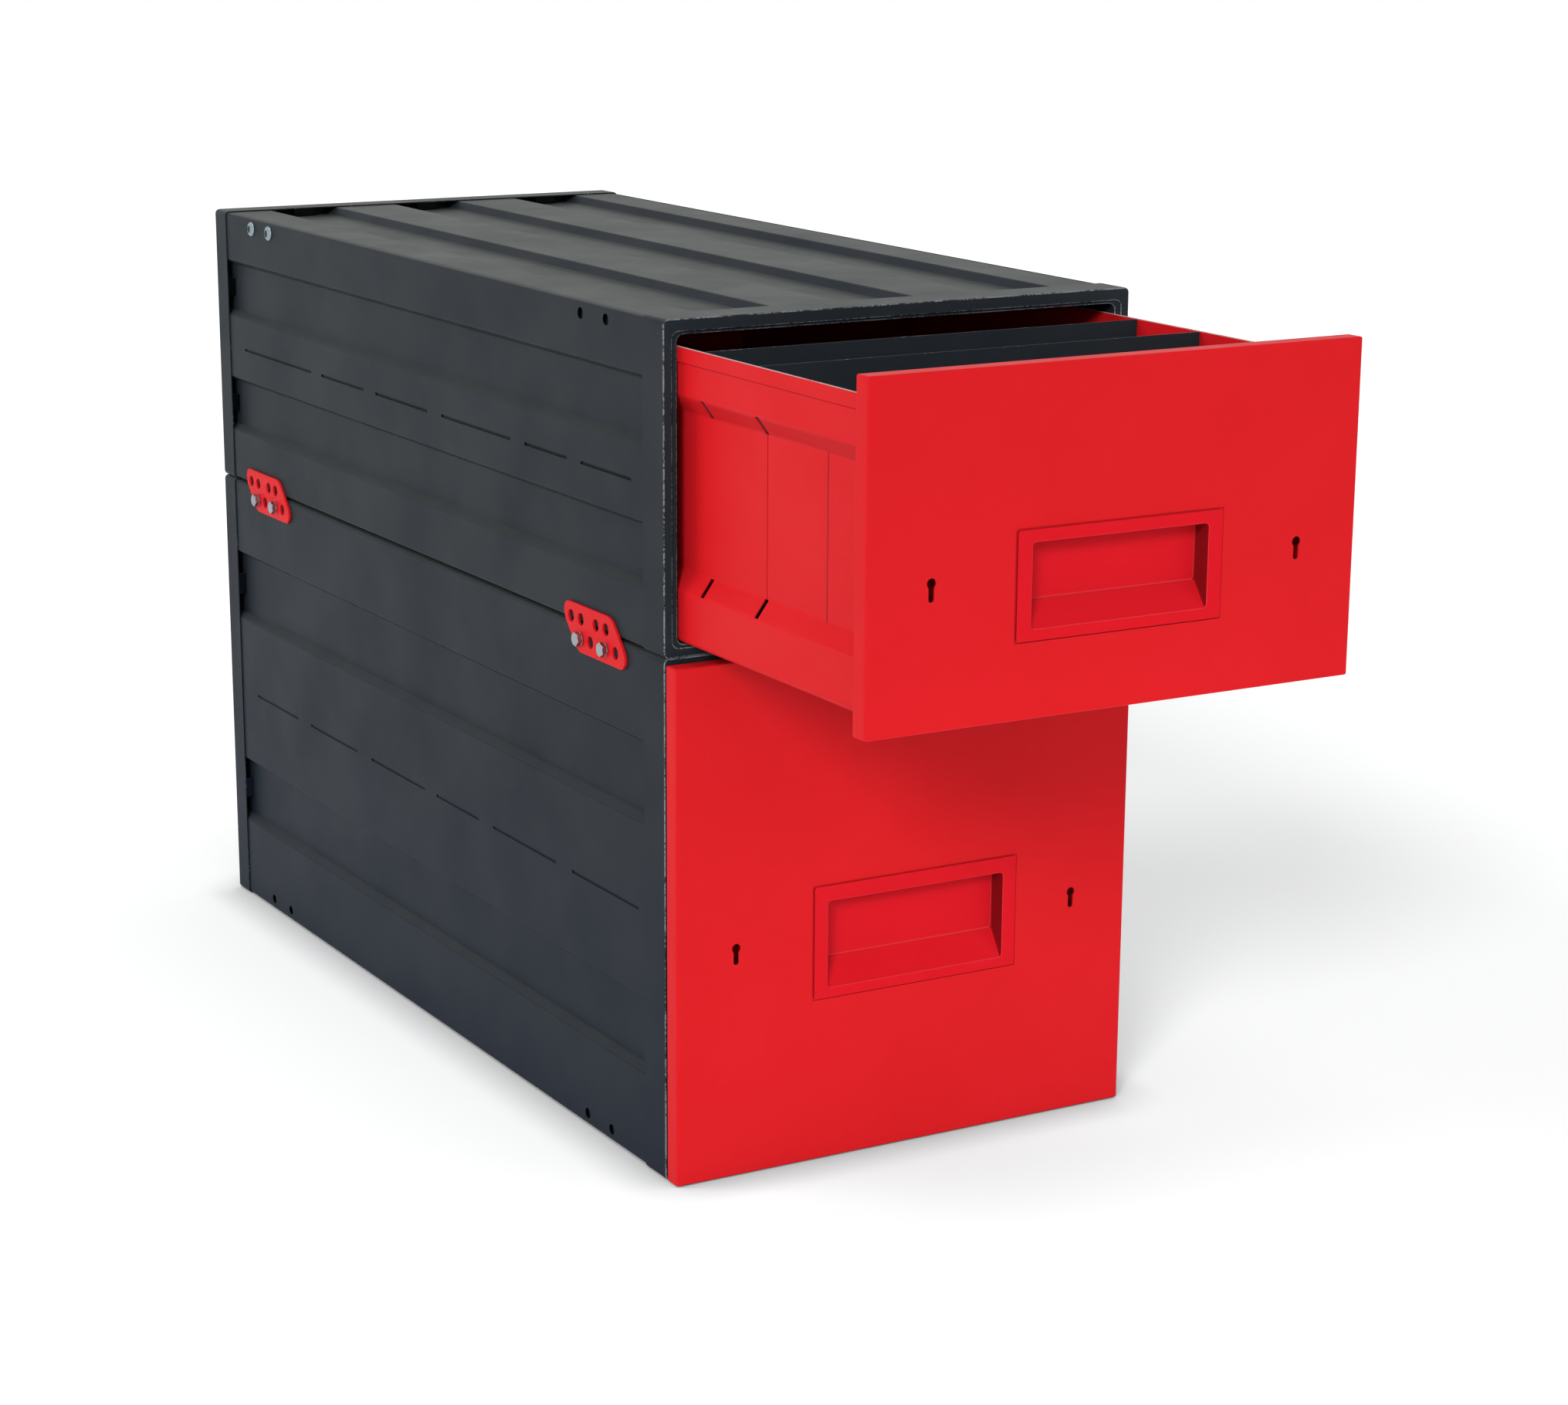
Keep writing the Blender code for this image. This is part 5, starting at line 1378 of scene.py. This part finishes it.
    def rear_roller(self, side: Side) -> None:
        """Roller at the rear of the drawer, which runs in the runner."""
        shape = roller_mesh((side.value * self.roller_x, REAR_AXLE_Y, self.unit.runner_z),
                            *self.roller_size)
        self.publish(shape, f"{side.word}_rear_roller", NYLON_WHITE)

    def divider(self, place: str, y: float) -> None:
        """Lift-out divider, its shoulders in the slots of both ledges."""
        _, high = self.unit.recess
        wide, inset = SIDE_HALF - SHEET - FIT, self.slot_inset
        foot = DRAWER_FOOT + 2 * SHEET + 2 * FIT
        ledge = high - RECESS_SLOPE + inset
        shoulder = high - (SIDE_HALF - inset - wide) * RECESS_SLOPE / RECESS_DEPTH
        half = [(-LOCK_END, foot), (-LOCK_END, ledge), (-(SIDE_HALF - RECESS_DEPTH - inset), ledge),
                (-wide, shoulder), (-wide, self.unit.drawer_top - 0.0005)]
        shape = plate(mirrored(half), y - SHEET / 2, y + SHEET / 2)
        soften(shape, 0.0003)
        self.publish(shape, f"{place}_divider", GREY_COAT)


@dataclass
class Joinery:
    """The plates that join both units, their bolts and the case screws."""

    shop: Workshop
    sheet: float = 0.003
    hole: float = 0.0124
    step: float = 0.021
    row_rise: float = 0.0195
    row_shift: float = 0.020
    edge: float = 0.014
    front_margin: float = 0.020
    rear_margin: float = 0.015
    strip_margin: float = 0.009
    strip_half: float = 0.006
    strip_sheet: float = 0.003
    flats: float = 0.013
    corner_run: float = 0.029
    corner_rise: float = 0.032
    shank: float = 0.004
    washer: float = 0.0012
    head_end: float = 0.0065
    dome: float = 0.0035
    socket_flats: float = 0.0080

    def publish(self, shape: Mesh, side: Side, part: str, finish: Finish, base: float = 0.0,
                narrow: float = NARROW) -> None:
        """Publish a piece that was made for the left side."""
        self.shop.publish(mirror(shape, side), f"{side.word}_{part}", finish,
                          Vector((0, SYSTEM_FRONT, base)), narrow)

    def build(self) -> None:
        """Build every plate and fastener."""
        rear = DEPTH - REAR_HOLE - HOLE_PAIR
        for side in Side:
            for place, y in (("front", FRONT_HOLE), ("rear", rear)):
                self.plate(side, place, y)
                self.bolts(side, place, y)
            self.screws(side, rear)

    def plate(self, side: Side, place: str, y: float) -> None:
        """Joining plate with two corners cut off, all rounded, and eight holes."""
        front, rear = -self.step - self.front_margin, HOLE_PAIR + self.row_shift + self.rear_margin
        low, high = -self.edge, self.row_rise + self.edge
        level = LOWER.height - HOLE_EDGE
        run, rise = self.corner_run, self.corner_rise
        corners = [(front, low, 0.0098), (rear - run, low, 0.008), (rear, low + rise, 0.006),
                   (rear, high, 0.0098), (front + run, high, 0.008), (front, high - rise, 0.006)]
        near = PANEL_HALF + FIT
        shape = plate([(y + a, level + b) for a, b, _ in corners], -near - self.sheet, -near, "X")
        across = [e for e in shape.edges if abs(e.verts[0].co.x - e.verts[1].co.x) > self.sheet / 2]
        for a, b, reach in corners:
            here = Vector((y + a, level + b))
            picked = [e for e in across if e.is_valid and (Vector(e.verts[0].co.yz) - here).length < 1e-5]
            bevel(shape, picked, reach, 6)
        tool = bmesh.new()
        for start in (0.0, HOLE_PAIR):
            for back in (-self.step, 0.0):
                for shift, rise in ((0.0, 0.0), (self.row_shift, self.row_rise)):
                    rod(tool, "X", (-near - self.sheet / 2, y + start + back + shift, level + rise),
                        self.hole / 2, self.sheet * 2, 32)
        shape = cut(shape, tool)
        soften(shape, 0.0004, 2)
        self.publish(shape, side, f"{place}_joining_plate", RED_COAT)

    def strip(self, shape: Mesh, y: float, z: float) -> float:
        """Add the tapped strip behind the flanges and give where the shanks end."""
        out = -(TOP_HALF - SHEET - FIT)
        cube(shape, (out, y - self.strip_margin, z - self.strip_half),
             (out + self.strip_sheet, y + HOLE_PAIR + self.strip_margin, z + self.strip_half), 0.0006)
        return out + 2 * self.strip_sheet

    def bolts(self, side: Side, place: str, y: float) -> None:
        """Two hexagon bolts with washers, screwed into one tapped strip."""
        z = LOWER.height - HOLE_EDGE
        seat = -(PANEL_HALF + self.sheet + 2 * FIT)
        shape = bmesh.new()
        end = self.strip(shape, y, z)
        for number, where in enumerate((y, y + HOLE_PAIR)):
            turned(shape, [(seat, self.shank), (seat, 0.0067), (seat - 0.0003, 0.0070),
                           (seat - 0.0009, 0.0070), (seat - self.washer, 0.0067),
                           (seat - self.washer, self.shank)], (0, where, z))
            rod(shape, "X", ((seat + end) / 2, where, z), self.shank, end - seat, 24)
            head, face = seat - self.washer, seat - self.head_end
            prism = bmesh.new()
            rod(prism, "X", ((head + face) / 2, 0, 0), self.flats / math.sqrt(3), head - face, 6)
            bmesh.ops.rotate(prism, cent=(0, 0, 0), matrix=Matrix.Rotation(0.45 + 0.8 * number, 3, "X"),
                             verts=prism.verts)
            cone = bmesh.new()
            tip, depth = self.flats * 0.47, head - face
            rod(cone, "X", ((head + face) / 2, 0, 0), tip, depth, 48, tip + depth * 1.75)
            prism = combined(prism, cone, "INTERSECT")
            soften(prism, 0.00025, 2)
            bmesh.ops.translate(prism, verts=prism.verts, vec=(0, where, z))
            join(shape, prism)
        outwards(shape)
        self.publish(shape, side, f"{place}_plate_bolts", ZINC_PLATE, narrow=0.0014)

    def screws(self, side: Side, y: float) -> None:
        """Two domed socket screws at the top rear of the upper unit."""
        z = UPPER.height - HOLE_EDGE
        seat = -(PANEL_HALF + FIT)
        shape = bmesh.new()
        end = self.strip(shape, y, z)
        for where in (y, y + HOLE_PAIR):
            rod(shape, "X", ((seat + end) / 2, where, z), self.shank, end - seat, 24)
            dome = bmesh.new()
            profile = [(seat, 0.0), (seat, 0.00825), (seat - 0.0009, 0.00825), (seat - 0.0018, 0.0077),
                       (seat - 0.0026, 0.0068), (seat - 0.0032, 0.0056), (seat - self.dome, 0.0042),
                       (seat - self.dome, 0.0)]
            turned(dome, profile, (0, where, z))
            socket = bmesh.new()
            rod(socket, "X", (seat - self.dome, where, z), self.socket_flats / math.sqrt(3), 0.0044, 6)
            join(shape, cut(dome, socket))
        outwards(shape)
        self.publish(shape, side, "case_screws", ZINC_DULL, UPPER.base, 0.0030)


@dataclass
class Studio:
    """The floor, the white surroundings, the lamps and the camera."""

    lens: float = 79.24361
    place: Place = (-1.741746, -3.165127, 1.255753)
    turn: tuple[float, float, float] = (1.307828, -0.003802, -0.51636)
    shift: tuple[float, float] = (0.017103, 0.04785)

    def build(self) -> None:
        """Set the whole studio."""
        self.world()
        self.floor()
        self.sun("Top softbox", 0, 88, 45, 0.66)
        self.sun("Rear left softbox", 152, 26, 32, 0.95, False)
        self.sun("Key softbox", 224, 27, 16, 1.62, False)
        self.sun("Front softbox", 262, 20, 45, 0.56)
        self.sun("Right softbox", 320, 30, 45, 0.30)
        self.panel("Low panel", (-0.1, -1.15, 0.03), (-0.05, -0.41, 0.1), 0.5, 1.2)
        self.camera()

    def camera(self) -> None:
        """Put the camera at the photograph's viewing angle."""
        data = bpy.data.cameras.new("Camera")
        data.lens = self.lens
        data.sensor_width = 36
        data.sensor_fit = "HORIZONTAL"
        data.shift_x, data.shift_y = self.shift
        camera = bpy.data.objects.new("Camera", data)
        camera.location = self.place
        camera.rotation_euler = self.turn
        bpy.context.scene.collection.objects.link(camera)
        bpy.context.scene.camera = camera

    def lamp(self, name: str, kind: str, energy: float, back: Vector) -> bpy.types.Object:
        """Add a lamp that shines away from a direction."""
        data = bpy.data.lights.new(name, kind)
        data.energy = energy
        lamp = bpy.data.objects.new(name, data)
        lamp.rotation_euler = back.to_track_quat("Z", "Y").to_euler()
        bpy.context.scene.collection.objects.link(lamp)
        return lamp

    def sun(self, name: str, bearing: float, height: float, spread: float, strength: float,
            gloss: bool = True) -> None:
        """Add one very large, distant softbox.

        Args:
            name: Its name.
            bearing: Where it stands, in degrees counterclockwise from +X.
            height: Its angle above the floor in degrees.
            spread: How large it looks from the object, in degrees.
            strength: Its strength.
            gloss: Whether it leaves a highlight.
        """
        across, up = math.radians(bearing), math.radians(height)
        to_lamp = Vector((math.cos(across) * math.cos(up), math.sin(across) * math.cos(up), math.sin(up)))
        lamp = self.lamp(name, "SUN", strength, to_lamp)
        lamp.data.angle = math.radians(spread)
        lamp.visible_glossy = gloss

    def panel(self, name: str, place: Place, aim: Place, size: float, power: float) -> None:
        """Add a round softbox that stands near the object.

        Args:
            name: Its name.
            place: Where it stands.
            aim: Where it points.
            size: Its width.
            power: Its power in watts.
        """
        lamp = self.lamp(name, "AREA", power, Vector(place) - Vector(aim))
        lamp.data.shape = "DISK"
        lamp.data.size = size
        lamp.location = place
        lamp.visible_camera = False
        lamp.visible_glossy = False

    def seen(self, nodes: Nodes) -> Socket:
        """A mask of the rays that see the background: from the camera, a mirror or through glass."""
        path = nodes.add("LightPath")
        seen = nodes.maths("MAXIMUM", path.outputs["Is Camera Ray"], path.outputs["Is Glossy Ray"])
        return nodes.maths("MAXIMUM", seen, path.outputs["Is Transmission Ray"])

    def world(self) -> None:
        """White surroundings that light the object at a plain level."""
        world = bpy.data.worlds.new("White room")
        bpy.context.scene.world = world
        world.use_nodes = True
        nodes = Nodes(world.node_tree)
        world.node_tree.nodes.clear()
        dim = nodes.add("Background", {"Color": (0.95, 0.97, 1.0, 1.0), "Strength": 0.12})
        bright = nodes.add("Background", {"Color": (1.0, 1.0, 1.0, 1.0), "Strength": 1.0})
        mixed = nodes.add("MixShader", {0: self.seen(nodes), 1: dim.outputs[0], 2: bright.outputs[0]})
        nodes.add("OutputWorld", {"Surface": mixed.outputs[0]})

    def floor(self) -> None:
        """Pale floor that keeps the object's shadow, with a painted contact shadow from ambient occlusion
        round the object's foot.
        """
        shape = bmesh.new()
        bmesh.ops.create_grid(shape, x_segments=1, y_segments=1, size=14)
        mesh = bpy.data.meshes.new("Floor")
        shape.to_mesh(mesh)
        shape.free()
        floor = bpy.data.objects.new("Floor", mesh)
        bpy.context.scene.collection.objects.link(floor)
        paper = bpy.data.materials.new("White paper")
        paper.use_nodes = True
        nodes = Nodes(paper.node_tree)
        paper.node_tree.nodes.clear()
        # Painted contact shadow: ambient occlusion darkens the floor's colour and its glow near the object
        near = nodes.add("AmbientOcclusion", {"Distance": 0.06})
        near.samples = 8
        open_floor = nodes.maths("POWER", near.outputs["AO"], 1.5)
        tone = nodes.mix(self.seen(nodes), (0.95, 0.95, 0.95), (1.0, 1.0, 1.0))
        matt = nodes.add("BsdfDiffuse", {"Color": nodes.mix(open_floor, (0.6, 0.6, 0.6), tone)})
        strength = nodes.maths("MULTIPLY", open_floor, 0.30)
        glow = nodes.add("Emission", {"Strength": nodes.maths("MULTIPLY", self.seen(nodes), strength)})
        both = nodes.add("AddShader", {0: matt.outputs[0], 1: glow.outputs[0]})
        nodes.add("OutputMaterial", {"Surface": both.outputs[0]})
        mesh.materials.append(paper)


def main() -> None:
    """Build the object and its studio."""
    logging.basicConfig(level=logging.INFO, format="%(name)s: %(message)s")
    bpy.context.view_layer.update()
    shop = Workshop()
    for unit in (LOWER, UPPER):
        Case(unit, shop).build()
        Drawer(unit, shop).build()
    Joinery(shop).build()
    Studio().build()
    view = bpy.context.scene.view_settings
    view.view_transform = "Standard"


if __name__ == "__main__":
    main()
